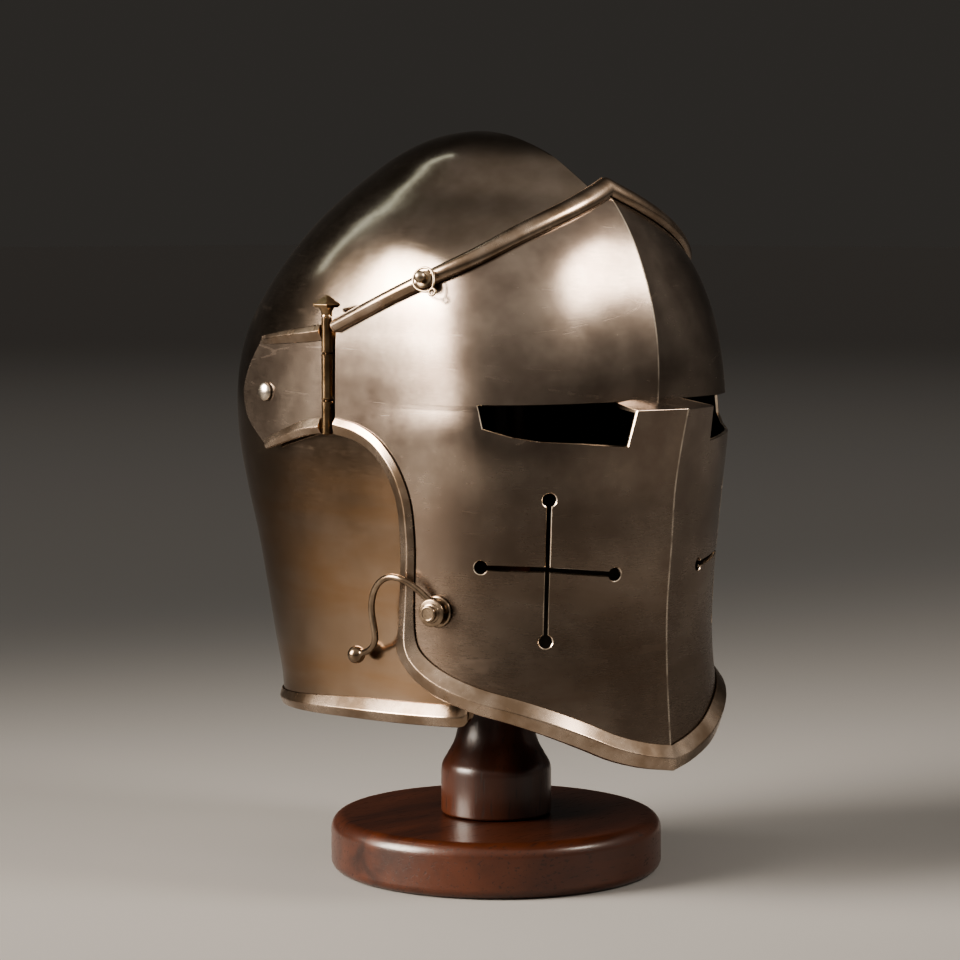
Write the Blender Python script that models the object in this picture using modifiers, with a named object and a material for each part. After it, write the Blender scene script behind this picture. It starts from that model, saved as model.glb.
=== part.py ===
"""Visored barbute helmet on a turned wooden display stand.

The skull is one hollow bowl of steel sheet with a pinched medial keel. The visor is one
ridged plate with sights and breaths, carried by a plate arm on each temple, and it lifts
about the two pivot rivets. A pin with a finial joins each arm's hinge to the visor. An
S-shaped hook swivels on a spool on the wearer's right cheek.

Tables and constants are in millimetres, and MM turns them into Blender's metres. +Z is up,
the face looks along -Y and the wearer's right is -X. The origin is the centre of the
stand's underside.
"""

import math
from collections import namedtuple

import bmesh
import bpy
import numpy as np
from mathutils import Matrix, Vector

MM = 0.001
GAP = 0.3                       # air between neighbouring pieces
SHEET = 1.6                     # thickness of the skull and the visor

# ---- skull: level sections, crown first -------------------------------------------------
SkullRow = namedtuple("SkullRow", "z half mid front back full_front full_back keel keel_width")
CROWN = (12.0, 368.2)           # y and z of the top of the bowl
SKULL_ROWS = [
    #         z      half   mid   front    back  full_f full_b keel keel_width
    SkullRow(367.6,  7.5,  12.0,    3.0,   20.0,  2.00,  2.00,  2.0,   6.0),
    SkullRow(365.8, 16.0,  13.5,   -8.0,   31.0,  2.00,  2.00,  5.0,  14.0),
    SkullRow(362.0, 25.5,  15.0,  -21.0,   43.0,  2.00,  2.00,  9.0,  24.0),
    SkullRow(356.0, 35.0,  17.0,  -36.0,   56.0,  2.00,  2.00, 13.0,  32.0),
    SkullRow(347.5, 44.5,  19.0,  -50.0,   70.0,  2.00,  2.00, 15.0,  38.0),
    SkullRow(337.0, 55.0,  21.0,  -65.0,   83.0,  2.00,  2.10, 16.0,  42.0),
    SkullRow(324.0, 66.0,  22.5,  -78.5,   97.0,  2.25,  2.20, 13.0,  46.0),
    SkullRow(308.0, 76.0,  24.0,  -88.0,  110.5,  2.60,  2.30,  9.0,  50.0),
    SkullRow(290.0, 83.0,  25.0,  -94.5,  124.5,  2.80,  2.40,  7.0,  55.0),
    SkullRow(268.0, 88.0,  25.0,  -98.0,  138.0,  3.00,  2.50,  6.0,  60.0),
    SkullRow(240.0, 90.0,  25.0,  -99.0,  146.0,  3.00,  2.50,  6.0,  60.0),
    SkullRow(215.0, 90.0,  25.0,  -99.0,  144.5,  2.90,  2.50,  6.0,  60.0),
    SkullRow(190.0, 89.0,  25.0,  -99.0,  137.5,  2.80,  2.50,  6.0,  60.0),
    SkullRow(165.0, 88.0,  25.0,  -99.0,  128.0,  2.80,  2.50,  6.0,  60.0),
    SkullRow(140.0, 87.0,  25.0,  -99.0,  120.5,  2.80,  2.50,  6.0,  60.0),
    SkullRow(115.0, 86.5,  25.0,  -99.0,  113.0,  2.80,  2.50,  6.0,  60.0),
    SkullRow( 95.0, 86.5,  25.0, -100.0,  106.0,  2.80,  2.50,  6.0,  60.0),
    SkullRow( 80.0, 87.0,  25.0, -101.0,  104.5,  2.80,  2.50,  6.0,  60.0),
]
HEM_HEIGHT = 84.0               # the bowl's lower edge, above the stand's axis
HEM_SLOPE = 0.022               # it falls towards the nape

# ---- visor: level sections of the brow plate and of the stepped-out face plate ----------
VisorRow = namedtuple("VisorRow", "z half mid front full keel keel_width")
BROW_ROWS = [
    #          z     half   mid   front   full  keel keel_width
    VisorRow(348.0,  46.0, 10.0,  -66.0,  2.1,   5.0, 60.0),
    VisorRow(338.0,  57.0, 10.0,  -73.5,  2.2,   5.5, 65.0),
    VisorRow(330.0,  66.0, 10.0,  -80.4,  2.4,   6.0, 68.0),
    VisorRow(316.0,  79.0, 10.0,  -89.8,  2.7,   7.0, 72.0),
    VisorRow(303.0,  87.0, 10.0,  -96.0,  3.0,   8.0, 76.0),
    VisorRow(288.0,  92.0, 10.0, -101.5,  3.2,   8.5, 78.0),
    VisorRow(270.0,  94.0, 10.0, -105.6,  3.5,   9.0, 80.0),
    VisorRow(252.0,  94.5, 10.0, -107.0,  3.8,   9.0, 80.0),
    VisorRow(238.0,  94.5, 10.0, -106.6,  4.1,   9.0, 80.0),
]
FACE_ROWS = [
    VisorRow(236.0,  94.5, 10.0, -125.7,  2.60, 10.0, 80.0),
    VisorRow(219.0,  94.5, 10.0, -121.7,  2.85, 10.0, 80.0),
    VisorRow(200.0,  94.0, 10.0, -118.0,  2.95, 10.0, 80.0),
    VisorRow(170.0,  93.5, 10.0, -115.5,  2.85, 10.0, 80.0),
    VisorRow(140.0,  93.0, 10.0, -113.0,  2.80, 10.0, 80.0),
    VisorRow(110.0,  93.0, 10.0, -113.2,  2.80,  9.5, 80.0),
    VisorRow( 88.0,  94.0, 10.0, -114.6,  2.90,  8.5, 78.0),
    VisorRow( 70.0,  96.0, 10.0, -116.0,  3.05,  6.5, 70.0),
    VisorRow( 58.0,  98.0, 10.0, -117.0,  3.10,  4.5, 62.0),
]
NOSE_TOP = 236.0                # top of the face plate's bridge, at the level sight
BROW_EDGE = 238.0               # bottom of the brow plate over the bridge
STEP_LEVEL = 237.0              # sections above it come from BROW_ROWS
REAR_Y = 16.5                   # the visor's upright rear edge, beside the hinge
GIRTH = 180.0                   # flat width of half the visor, keel to rear edge

# Flat patterns of the visor: across from the keel, and height
TOP_EDGE = [(0, 344), (32, 335), (70, 322.5), (103, 307.5), (137, 294), (180, 277)]
EAR_EDGE = [(180, 221.5), (166, 219), (155, 214), (147, 206), (140.5, 192), (138, 176),
            (138, 150), (139, 131), (140, 121), (133, 111), (122, 103), (110, 98),
            (98, 94), (82, 90), (67, 85), (51, 78.5), (34, 71), (16, 65.7), (0, 62.8)]
SIGHT = [(29, 219), (52, 221), (70, 222), (82, 224), (92, 228), (94, 238.6), (24, 238.6),
         (27, 236)]
BREATH_CENTRE = (64.3, 162)
BREATH_ENDS = [(95.3, 162.8), (64.4, 194.7), (30.6, 158.5), (64.4, 128)]
BREATH_HOLE = 3.2               # radius
BREATH_SLIT = 2.0               # width

# Rim profiles: inwards from the free edge, and outwards from the plate. Those of one edge
# have the same number of corners, because one runs into the other
LIP = 1.3                       # thickness of the part that laps the plate's edge
AIR = 0.45                      # between a rim's band and the plate that it laps
UNDER = [(LIP, AIR), (LIP, -SHEET)]
TOP_RIM = [(0, -SHEET), (0, 2.0), (1.5, 4.0), (4.3, 5.0), (6.9, 3.9), (8.8, 1.1), (8.8, AIR)] + UNDER
BAR_RIM = [(0, -SHEET), (0, 2.0), (1.2, 3.9), (3.5, 4.8), (5.6, 3.8), (7.2, 1.1), (7.2, AIR)] + UNDER
LOWER_RIM = [(0, -SHEET), (0, 1.4), (5.6, 4.6), (12.0, 1.0), (12.0, AIR)] + UNDER
CHIN_RIM = [(0, -SHEET), (0, 1.2), (5.6, 2.8), (12.0, 0.9), (12.0, AIR)] + UNDER
EAR_RIM = [(0, -SHEET), (0, 0.9), (5.0, 2.5), (8.2, 0.9), (8.2, AIR)] + UNDER
ARM_RIM = [(0, -SHEET), (0, 1.2), (3.2, 3.4), (7.6, 0.9), (7.6, AIR)] + UNDER
TAIL_RIM = [(0, -SHEET), (0, 0.9), (2.1, 2.2), (5.0, 0.8), (5.0, AIR)] + UNDER
SKULL_RIM = [(0, -SHEET), (0, 1.4), (4.8, 4.6), (10.6, 0.9), (10.6, AIR)] + UNDER
NAPE_RIM = [(0, -SHEET), (0, 0.8), (3.4, 1.9), (7.2, 0.8), (7.2, AIR)] + UNDER
CHEEK_END = [(0, -SHEET), (0, 0.6), (2.4, 1.6), (5.0, 0.8), (5.0, AIR)] + UNDER

# ---- arms, hinge and pivot --------------------------------------------------------------
ARM_FACE = 95.0                 # outer face of the arm beside the hinge
ARM_START_Y = 26.0
ARM_BEND_RADIUS = 330.0         # the arm bends gently round the temple
ARM_TOP = [(26, 274), (49, 271), (71, 267.5)]
ARM_TAIL = [(71, 267.5), (86, 248), (89, 240), (87, 230), (68, 212)]
ARM_FOOT = [(68, 212), (49, 217), (34, 220.5), (26, 221.5)]
PIVOT = (68.0, 240.0)           # y and z of the axis that the visor turns about
BARREL_Y = 21.2
BARREL_X = 95.0
BARREL_RADIUS = 2.65
BARREL_BORE = 1.45
KNUCKLES = [(260.6, 277.6), (237.9, 260.1), (221.2, 237.4)]     # top, middle, bottom
PIN_RADIUS = 1.15
LEAF = 1.2                      # thickness of the hinge leaves
LEAF_FACE = 92.6                # their outer face, under the plates they are fixed to
LEAF_TOP = 272.0                # they end below the arm's upper edge
LEAF_REACH = 13.0               # how far a leaf runs under its plate

# ---- hook, spool and peg, on the wearer's right -----------------------------------------
SPOOL_PLACE = (-116.5, 141.0)   # across and height on the visor
PEG_PLACE = (-119.0, 294.5)
HOOK_WIRE = 1.55                # radius
HOOK_BALL = 4.3
HOOK_ROUTE = [
    # across, height, lift off the visor's face
    (-119.5, 146.6, 3.7), (-123, 150, 4.4), (-128, 154, 6.0), (-133, 156.4, 7.0),
    (-138, 156.8, 7.4), (-143, 155, 7.2), (-147.5, 151, 6.5), (-150.5, 146, 5.6),
    (-151.8, 141, 5.0), (-152.2, 136, 4.4), (-152.2, 131.5, 3.8), (-152.4, 127, 3.2),
    (-153.6, 123.4, 2.4), (-157, 120, 1.6), (-161.5, 117.8, 1.0), (-166.5, 116.2, 0.6),
]

# ---- stand ------------------------------------------------------------------------------
BASE_RADIUS = 83.0
BASE_HEIGHT = 27.0
POST_RADIUS = 17.0
REST_TOP = 362.4                # top of the domed rest under the crown
REST_RADIUS = 32.0


# ---- scene and materials ----------------------------------------------------------------
def clear_scene():
    for item in list(bpy.data.objects):
        bpy.data.objects.remove(item, do_unlink=True)


def new_collection(name):
    collection = bpy.data.collections.new(name)
    bpy.context.scene.collection.children.link(collection)
    return collection


def new_material(name, colour, metallic, roughness):
    material = bpy.data.materials.new(name)
    material.use_nodes = True
    shader = material.node_tree.nodes["Principled BSDF"]
    shader.inputs["Base Color"].default_value = (*colour, 1.0)
    shader.inputs["Metallic"].default_value = metallic
    shader.inputs["Roughness"].default_value = roughness
    return material


def add_object(name, mesh, material, collection):
    item = bpy.data.objects.new(name, mesh)
    collection.objects.link(item)
    if material is not None:
        mesh.materials.clear()
        mesh.materials.append(material)
    return item


def smooth_shaded(item, angle=35.0):
    item.data.shade_smooth()
    item.data.set_sharp_from_angle(angle=math.radians(angle))


def mark_as_cutter(item):
    item.hide_render = True
    item.display_type = "WIRE"


def add_boolean(item, cutter, operation):
    modifier = item.modifiers.new(operation.title(), "BOOLEAN")
    modifier.operation = operation
    modifier.object = cutter


def evaluated_mesh(item):
    bpy.context.view_layer.update()
    return bpy.data.meshes.new_from_object(item.evaluated_get(bpy.context.evaluated_depsgraph_get()))


# ---- curves and sections ----------------------------------------------------------------
def hermite(at, stops, values):
    """Smooth value of a table column; stops ascend."""
    stops = np.asarray(stops, float)
    values = np.asarray(values, float)
    slopes = np.gradient(values, stops)
    at = min(max(at, stops[0]), stops[-1])
    i = min(max(int(np.searchsorted(stops, at)) - 1, 0), len(stops) - 2)
    width = stops[i + 1] - stops[i]
    t = (at - stops[i]) / width
    return ((2 * t ** 3 - 3 * t ** 2 + 1) * values[i]
            + (t ** 3 - 2 * t ** 2 + t) * width * slopes[i]
            + (3 * t ** 2 - 2 * t ** 3) * values[i + 1]
            + (t ** 3 - t ** 2) * width * slopes[i + 1])


def table_row(rows, z):
    """The row at height z, read smoothly between the table's rows (highest first)."""
    columns = list(zip(*rows))
    stops = columns[0][::-1]
    return type(rows[0])(z, *(hermite(z, stops, column[::-1]) for column in columns[1:]))


def smooth_path(points, step):
    """A smooth curve through the points, sampled about every step."""
    points = np.asarray(points, float)
    spans = np.linalg.norm(np.diff(points, axis=0), axis=1)
    stops = np.concatenate([[0.0], np.cumsum(spans)])
    count = max(int(round(stops[-1] / step)), 2)
    samples = np.linspace(0.0, stops[-1], count + 1)
    return np.array([[hermite(s, stops, column) for column in points.T] for s in samples])


def front_quarter(half, mid, front, full, keel, keel_width, count):
    """Keel to widest point: a rounded square drawn out to a keel in the middle plane."""
    turn = np.linspace(0.0, math.pi / 2, count)
    reach = mid - (front + keel)
    x = half * np.sin(turn) ** (2 / full)
    y = mid - reach * np.cos(turn) ** (2 / full)
    y = y - keel * np.clip(1 - x / keel_width, 0, None) ** 2
    return x, y


def back_quarter(half, mid, back, full, count):
    turn = np.linspace(0.0, math.pi / 2, count)
    return half * np.cos(turn) ** (2 / full), mid + (back - mid) * np.sin(turn) ** (2 / full)


def along(x, y, shares):
    """Points at the given shares of a polyline's length."""
    length = np.concatenate([[0.0], np.cumsum(np.hypot(np.diff(x), np.diff(y)))])
    at = np.asarray(shares) * length[-1]
    return np.interp(at, length, x), np.interp(at, length, y)


# ---- the visor's form -------------------------------------------------------------------
def visor_section(z, brow):
    row = table_row(BROW_ROWS if brow else FACE_ROWS, z)
    x, y = front_quarter(*row[1:], count=160)
    x = np.append(x, x[-1])
    y = np.append(y, REAR_Y)
    return x, y


SECTIONS = {}


def section_point(across, z, brow):
    key = (round(z, 3), brow)
    if key not in SECTIONS:
        SECTIONS[key] = visor_section(z, brow)
    x, y = along(*SECTIONS[key], [min(abs(across) / GIRTH, 1.0)])
    return np.array([math.copysign(x[0], across) if across else 0.0, y[0], z])


def ease(value, low, high):
    """0 below low, 1 above high, smooth between."""
    t = min(max((value - low) / (high - low), 0.0), 1.0)
    return t * t * (3 - 2 * t)


def on_visor(across, z, brow):
    """Point of the visor's outer face. Beyond the sights the two plates are one surface."""
    point = section_point(across, z, brow)
    merged = ease(abs(across), 78, 96) * ease(z, 190, NOSE_TOP)
    if merged and not brow:
        step = section_point(across, BROW_EDGE, True) - section_point(across, NOSE_TOP, False)
        point[:2] += merged * step[:2]
    return point


def visor_normal(across, z, brow):
    run = on_visor(across + 0.6, z, brow) - on_visor(across - 0.6, z, brow)
    rise = on_visor(across, z + 0.6, brow) - on_visor(across, z - 0.6, brow)
    normal = np.cross(run, rise)
    return normal / np.linalg.norm(normal)


def visor_form(across, z, lift):
    """Take a point of the flat pattern, with its lift off the face, to the raised visor."""
    brow = z > STEP_LEVEL
    point = on_visor(across, z, brow) + visor_normal(across, z, brow) * lift
    over_bridge = abs(across) < SIGHT[0][0] and NOSE_TOP <= z <= BROW_EDGE
    if over_bridge and lift < 0:
        point[2] += lift          # the shelf over the bridge is as thick as the sheet
    return point


# ---- the skull's form -------------------------------------------------------------------
def skull_ring(z, shares):
    """Outer face at height z, keel to nape on the wearer's left."""
    row = table_row(SKULL_ROWS, z)
    front = front_quarter(row.half, row.mid, row.front, row.full_front, row.keel,
                          row.keel_width, 60)
    back = back_quarter(row.half, row.mid, row.back, row.full_back, 60)
    x = np.concatenate([front[0], back[0][1:]])
    y = np.concatenate([front[1], back[1][1:]])
    return along(x, y, shares)


# ---- shapes -----------------------------------------------------------------------------
def outline_prism(name, points, low, high, collection):
    """A flat outline in X and Z, as a solid from y = low to y = high."""
    curve = bpy.data.curves.new(name, "CURVE")
    curve.dimensions = "2D"
    curve.fill_mode = "BOTH"
    curve.extrude = (high - low) / 2 * MM
    spline = curve.splines.new("POLY")
    spline.points.add(len(points) - 1)
    for corner, (x, z) in zip(spline.points, points):
        corner.co = (x * MM, z * MM, 0, 1)
    spline.use_cyclic_u = True
    drawn = bpy.data.objects.new(name, curve)
    collection.objects.link(drawn)
    mesh = evaluated_mesh(drawn)
    bpy.data.objects.remove(drawn)
    bpy.data.curves.remove(curve)
    bm = bmesh.new()
    bm.from_mesh(mesh)
    bmesh.ops.remove_doubles(bm, verts=bm.verts, dist=0.00001)
    upright = Matrix.Translation((0, (low + high) / 2 * MM, 0)) @ Matrix.Rotation(math.pi / 2, 4, "X")
    bmesh.ops.transform(bm, matrix=upright, verts=bm.verts)
    bmesh.ops.recalc_face_normals(bm, faces=bm.faces)
    bm.to_mesh(mesh)
    bm.free()
    item = add_object(name, mesh, None, collection)
    mark_as_cutter(item)
    return item


def blank_sheet(name, columns, rows, collection):
    """A flat sheet in X and Z whose outer face is y = 0, gridded where it will bend."""
    bm = bmesh.new()
    bmesh.ops.create_grid(bm, x_segments=len(columns) - 1, y_segments=len(rows) - 1, size=1)
    for vert in bm.verts:
        i = round((vert.co.x + 1) / 2 * (len(columns) - 1))
        j = round((vert.co.y + 1) / 2 * (len(rows) - 1))
        vert.co = (columns[i] * MM, 0, rows[j] * MM)
    bmesh.ops.recalc_face_normals(bm, faces=bm.faces)
    if next(iter(bm.faces)).normal.y > 0:
        bmesh.ops.reverse_faces(bm, faces=bm.faces)
    mesh = bpy.data.meshes.new(name)
    bm.to_mesh(mesh)
    bm.free()
    sheet = add_object(name, mesh, None, collection)
    mark_as_cutter(sheet)
    thick = sheet.modifiers.new("Sheet", "SOLIDIFY")
    thick.thickness = SHEET * MM
    thick.offset = -1
    return sheet


def raised_plate(name, sheet, form, material, collection):
    """Bend the cut flat sheet to the form."""
    mesh = evaluated_mesh(sheet)
    mesh.name = name
    bm = bmesh.new()
    bm.from_mesh(mesh)
    bmesh.ops.remove_doubles(bm, verts=bm.verts, dist=0.00002)
    many_sided = [face for face in bm.faces if len(face.verts) > 4]
    bmesh.ops.triangulate(bm, faces=many_sided)
    for vert in bm.verts:
        across, depth, height = (value / MM for value in vert.co)
        vert.co = Vector(form(across, height, -depth)) * MM
    bm.to_mesh(mesh)
    bm.free()
    plate = add_object(name, mesh, material, collection)
    smooth_shaded(plate)
    return plate


def between(first, second, share):
    """A profile part of the way from one to another."""
    return np.array(first) * (1 - share) + np.array(second) * share


def formed_rim(name, path, inward, profiles, form, material, collection):
    """Carry a changing profile along an edge of a flat pattern and raise it with the form.
    inward is +1 when the plate lies to the left of the path."""
    path = np.asarray(path, float)
    runs = np.diff(path, axis=0)
    runs /= np.linalg.norm(runs, axis=1)[:, None]
    bm = bmesh.new()
    rings = []
    for i, (spot, profile) in enumerate(zip(path, profiles)):
        before = runs[max(i - 1, 0)]
        after = runs[min(i, len(runs) - 1)]
        run = (before + after) / np.linalg.norm(before + after)
        mitre = 1 / math.sqrt((1 + before @ after) / 2)
        side = np.array([-run[1], run[0]]) * inward * mitre
        ring = [form(*(spot + side * u), v) for u, v in profile]
        rings.append([bm.verts.new(Vector(corner) * MM) for corner in ring])
    for ring, following in zip(rings, rings[1:]):
        for k in range(len(ring)):
            after = (k + 1) % len(ring)
            bm.faces.new((ring[k], ring[after], following[after], following[k]))
    bm.faces.new(rings[0])
    bm.faces.new(rings[-1])
    bmesh.ops.recalc_face_normals(bm, faces=bm.faces)
    mesh = bpy.data.meshes.new(name)
    bm.to_mesh(mesh)
    bm.free()
    rim = add_object(name, mesh, material, collection)
    smooth_shaded(rim, 25)
    return rim


def turned(name, profile, sides, place, material, collection):
    """Turn a profile of (radius, height), top first, about Z, then put it in its place."""
    mesh = bpy.data.meshes.new(name)
    corners = [(radius * MM, 0, height * MM) for radius, height in profile]
    mesh.from_pydata(corners, [(i, i + 1) for i in range(len(corners) - 1)], [])
    item = add_object(name, mesh, material, collection)
    item.matrix_world = place
    screw = item.modifiers.new("Turn", "SCREW")
    screw.angle = math.tau
    screw.steps = sides
    screw.render_steps = sides
    screw.use_merge_vertices = True
    screw.merge_threshold = 0.00001
    screw.use_smooth_shade = True
    return item


def facing(point, normal):
    """Place with local Z along the normal, and sizes still in metres."""
    turn = Vector(normal).to_track_quat("Z", "Y").to_matrix().to_4x4()
    return Matrix.Translation(Vector(point) * MM) @ turn


def wire(name, points, radius, closed, material, collection):
    curve = bpy.data.curves.new(name, "CURVE")
    curve.dimensions = "3D"
    curve.bevel_depth = radius * MM
    curve.bevel_resolution = 1
    curve.use_fill_caps = not closed
    spline = curve.splines.new("POLY")
    spline.points.add(len(points) - 1)
    for stop, point in zip(spline.points, points):
        stop.co = (*(Vector(point) * MM), 1)
    spline.use_cyclic_u = closed
    item = bpy.data.objects.new(name, curve)
    collection.objects.link(item)
    if material is not None:
        curve.materials.append(material)
    return item


def wire_as_mesh(item, material, collection):
    """A wire whose caps are welded, so that other solids can be joined to it."""
    mesh = evaluated_mesh(item)
    bm = bmesh.new()
    bm.from_mesh(mesh)
    bmesh.ops.remove_doubles(bm, verts=bm.verts, dist=0.00001)
    bmesh.ops.recalc_face_normals(bm, faces=bm.faces)
    bm.to_mesh(mesh)
    bm.free()
    name = item.name
    bpy.data.objects.remove(item)
    made = add_object(name, mesh, material, collection)
    smooth_shaded(made, 50)
    return made


# ---- skull ------------------------------------------------------------------------------
SKULL_SHARES = [0, 0.035, 0.08, 0.135, 0.195, 0.25, 0.3, 0.355, 0.43, 0.51, 0.58, 0.64, 0.7,
                0.76, 0.82, 0.88, 0.94, 1]
SKULL_LEVELS = [367.4, 364.6, 359.5, 351, 340, 326, 309, 288, 264, 238, 208, 174, 140, 114,
                102, 92, 84]
FACE_OPENING = [(-140, 60), (-56, 60), (-56, 92), (-54, 120), (-50, 150), (-48, 180),
                (-49, 210), (-54, 235), (-66, 253), (-88, 262), (-140, 264)]
RIVET_HOLE = 2.7
SKULL_GIRTH = 320.0             # keel to nape, about


def hem(y):
    return HEM_HEIGHT - HEM_SLOPE * y


def build_skull(parts, cutters, steel):
    bm = bmesh.new()
    crown = bm.verts.new(Vector((0, *CROWN)) * MM)
    rings = []
    for level in SKULL_LEVELS:
        x, y = skull_ring(level, SKULL_SHARES)
        last = level == SKULL_LEVELS[-1]
        left = [(px, py, hem(py) + LIP + GAP if last else level) for px, py in zip(x, y)]
        left[0] = (0, *left[0][1:])
        left[-1] = (0, *left[-1][1:])
        right = [(-px, py, pz) for px, py, pz in reversed(left[1:-1])]
        rings.append([bm.verts.new(Vector(point) * MM) for point in left + right])
    count = len(rings[0])
    for k in range(count):
        bm.faces.new((crown, rings[0][(k + 1) % count], rings[0][k]))
    for upper, lower in zip(rings, rings[1:]):
        for k in range(count):
            after = (k + 1) % count
            bm.faces.new((upper[k], upper[after], lower[after], lower[k]))
    bmesh.ops.recalc_face_normals(bm, faces=bm.faces)
    mesh = bpy.data.meshes.new("skull")
    bm.to_mesh(mesh)
    bm.free()
    skull = add_object("skull", mesh, steel, parts)
    smooth_shaded(skull, 50)
    wall = skull.modifiers.new("Wall", "SOLIDIFY")
    wall.thickness = SHEET * MM
    wall.offset = -1
    opening = outline_prism("face_opening", FACE_OPENING, -120, 120, cutters)
    opening.rotation_euler.z = math.pi / 2
    add_boolean(skull, opening, "DIFFERENCE")
    hole = turned("pivot_holes", [(0, 120), (RIVET_HOLE, 120), (RIVET_HOLE, -120), (0, -120)],
                  12, facing((0, *PIVOT), (1, 0, 0)), None, cutters)
    mark_as_cutter(hole)
    add_boolean(skull, hole, "DIFFERENCE")
    return skull


def on_skull(across, z):
    """Point of the skull's outer face; across runs from the keel round to the nape."""
    x, y = skull_ring(z, [min(abs(across) / SKULL_GIRTH, 1.0)])
    return np.array([math.copysign(x[0], across), y[0], z])


def skull_form(across, z, lift):
    run = on_skull(across + 0.8, z) - on_skull(across - 0.8, z)
    if abs(abs(across) - SKULL_GIRTH) < 0.8:
        run = np.array([-math.copysign(1.0, across), 0.0, 0.0])
    rise = on_skull(across, z + 0.8) - on_skull(across, z - 0.8)
    normal = np.cross(run, rise) * math.copysign(1.0, across)
    if across < 0:
        normal = -normal
    return on_skull(across, z) + normal / np.linalg.norm(normal) * lift


def build_skull_rim(parts, steel):
    """Two-faceted rim round the bowl's lower edge, ending in a rounded tongue on each cheek."""
    fine = np.linspace(0, 1, 400)
    x, y = skull_ring(HEM_HEIGHT, fine)
    start = fine[np.searchsorted(y, FACE_OPENING[1][0] + 0.5)]
    shares = [start, start + 0.008, start + 0.02]
    shares += [share for share in SKULL_SHARES if share > start + 0.03]
    path = [(share * SKULL_GIRTH, hem(np.interp(share, fine, y))) for share in shares]
    profiles = [between(SKULL_RIM, NAPE_RIM, ease(np.interp(share, fine, y), -10, 90))
                for share in shares]
    for k, share in ((0, 1.0), (1, 0.45), (2, 0.1)):
        profiles[k] = between(SKULL_RIM, CHEEK_END, share)
    path += [(2 * SKULL_GIRTH - across, z) for across, z in reversed(path[:-1])]
    profiles += profiles[-2::-1]

    def form(across, z, lift):
        if across <= SKULL_GIRTH:
            return skull_form(across, z, lift)
        return skull_form(2 * SKULL_GIRTH - across, z, lift) * (-1, 1, 1)

    return formed_rim("skull_rim", path, 1, profiles, form, steel, parts)


# ---- visor ------------------------------------------------------------------------------
VISOR_COLUMNS = [9, 18, 28, 39, 50, 61, 72, 83, 94, 106, 120, 138, 160, 183]
VISOR_LEVELS = [56, 70, 84, 102, 128, 160, 192, 210, 224, NOSE_TOP, BROW_EDGE, 254, 272, 290,
                306, 320, 333, 347]


def offset_path(points, distance):
    """Move an open path to its left by a distance."""
    points = np.asarray(points, float)
    runs = np.gradient(points, axis=0)
    runs /= np.linalg.norm(runs, axis=1)[:, None]
    return points + np.stack([-runs[:, 1], runs[:, 0]], axis=1) * distance


def mirrored(points):
    return [(-x, z) for x, z in points]


def breath_outline():
    """A cross of four slits, each ending in a round hole."""
    centre = np.array(BREATH_CENTRE)
    arms = [np.array(end) - centre for end in BREATH_ENDS]
    turns = [math.atan2(arm[1], arm[0]) % math.tau for arm in arms]
    spread = math.asin(BREATH_SLIT / 2 / BREATH_HOLE)
    outline = []
    for k in range(4):
        for angle in np.linspace(-math.pi + spread, math.pi - spread, 13):
            around = turns[k] + angle
            outline.append(tuple(BREATH_ENDS[k] + BREATH_HOLE * np.array([math.cos(around),
                                                                          math.sin(around)])))
        gap = (turns[(k + 1) % 4] - turns[k]) % math.tau
        reach = BREATH_SLIT / 2 / math.sin(gap / 2)
        between = turns[k] + gap / 2
        outline.append(tuple(centre + reach * np.array([math.cos(between), math.sin(between)])))
    return outline


def build_visor(parts, cutters, steel):
    columns = [-c for c in reversed(VISOR_COLUMNS)] + [0] + VISOR_COLUMNS
    sheet = blank_sheet("visor_sheet", columns, VISOR_LEVELS, cutters)
    inset = GAP + LIP
    top = offset_path(smooth_path(TOP_EDGE, 15), -inset)
    low = offset_path(smooth_path(EAR_EDGE, 9), -inset)
    top[0][0] = 0
    low[-1][0] = 0
    half = [tuple(point) for point in top] + [tuple(point) for point in low]
    outline = half + mirrored(half[1:-1])[::-1]
    pattern = outline_prism("visor_pattern", outline, -8, 8, cutters)
    add_boolean(sheet, pattern, "INTERSECT")
    for side, flip in (("left", 1), ("right", -1)):
        sight = [(x * flip, z) for x, z in SIGHT]
        breath = [(x * flip, z) for x, z in breath_outline()]
        for label, shape in (("sight", sight), ("breath", breath)):
            cutter = outline_prism(f"{label}_{side}", shape, -8, 8, cutters)
            add_boolean(sheet, cutter, "DIFFERENCE")
    return raised_plate("visor", sheet, visor_form, steel, parts)


def visor_place(across, z):
    brow = z > STEP_LEVEL
    return on_visor(across, z, brow), visor_normal(across, z, brow)


def build_visor_rims(parts, steel):
    top = smooth_path(TOP_EDGE, 15)
    top = np.concatenate([top[::-1] * (-1, 1), top[1:]])
    profiles = [between(TOP_RIM, BAR_RIM, ease(abs(across), 60, 150)) for across, z in top]
    formed_rim("visor_top_rim", top, -1, profiles, visor_form, steel, parts)
    low = smooth_path(EAR_EDGE, 9)
    low = np.concatenate([low * (-1, 1), low[-2::-1]])
    profiles = [between(between(CHIN_RIM, LOWER_RIM, ease(abs(across), 0, 12)), EAR_RIM,
                        ease(z, 108, 145)) for across, z in low]
    formed_rim("visor_lower_rim", low, 1, profiles, visor_form, steel, parts)


# ---- arms and hinges --------------------------------------------------------------------
def arm_form(y, z, lift):
    """Outer face of the right arm: upright beside the hinge, bending in round the temple."""
    past = max(y - ARM_START_Y, 0.0)
    slope = past / ARM_BEND_RADIUS
    point = np.array([-(ARM_FACE - past * slope / 2), y, z])
    normal = np.array([-1.0, slope, 0.0])
    return point + normal / np.linalg.norm(normal) * lift


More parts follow.
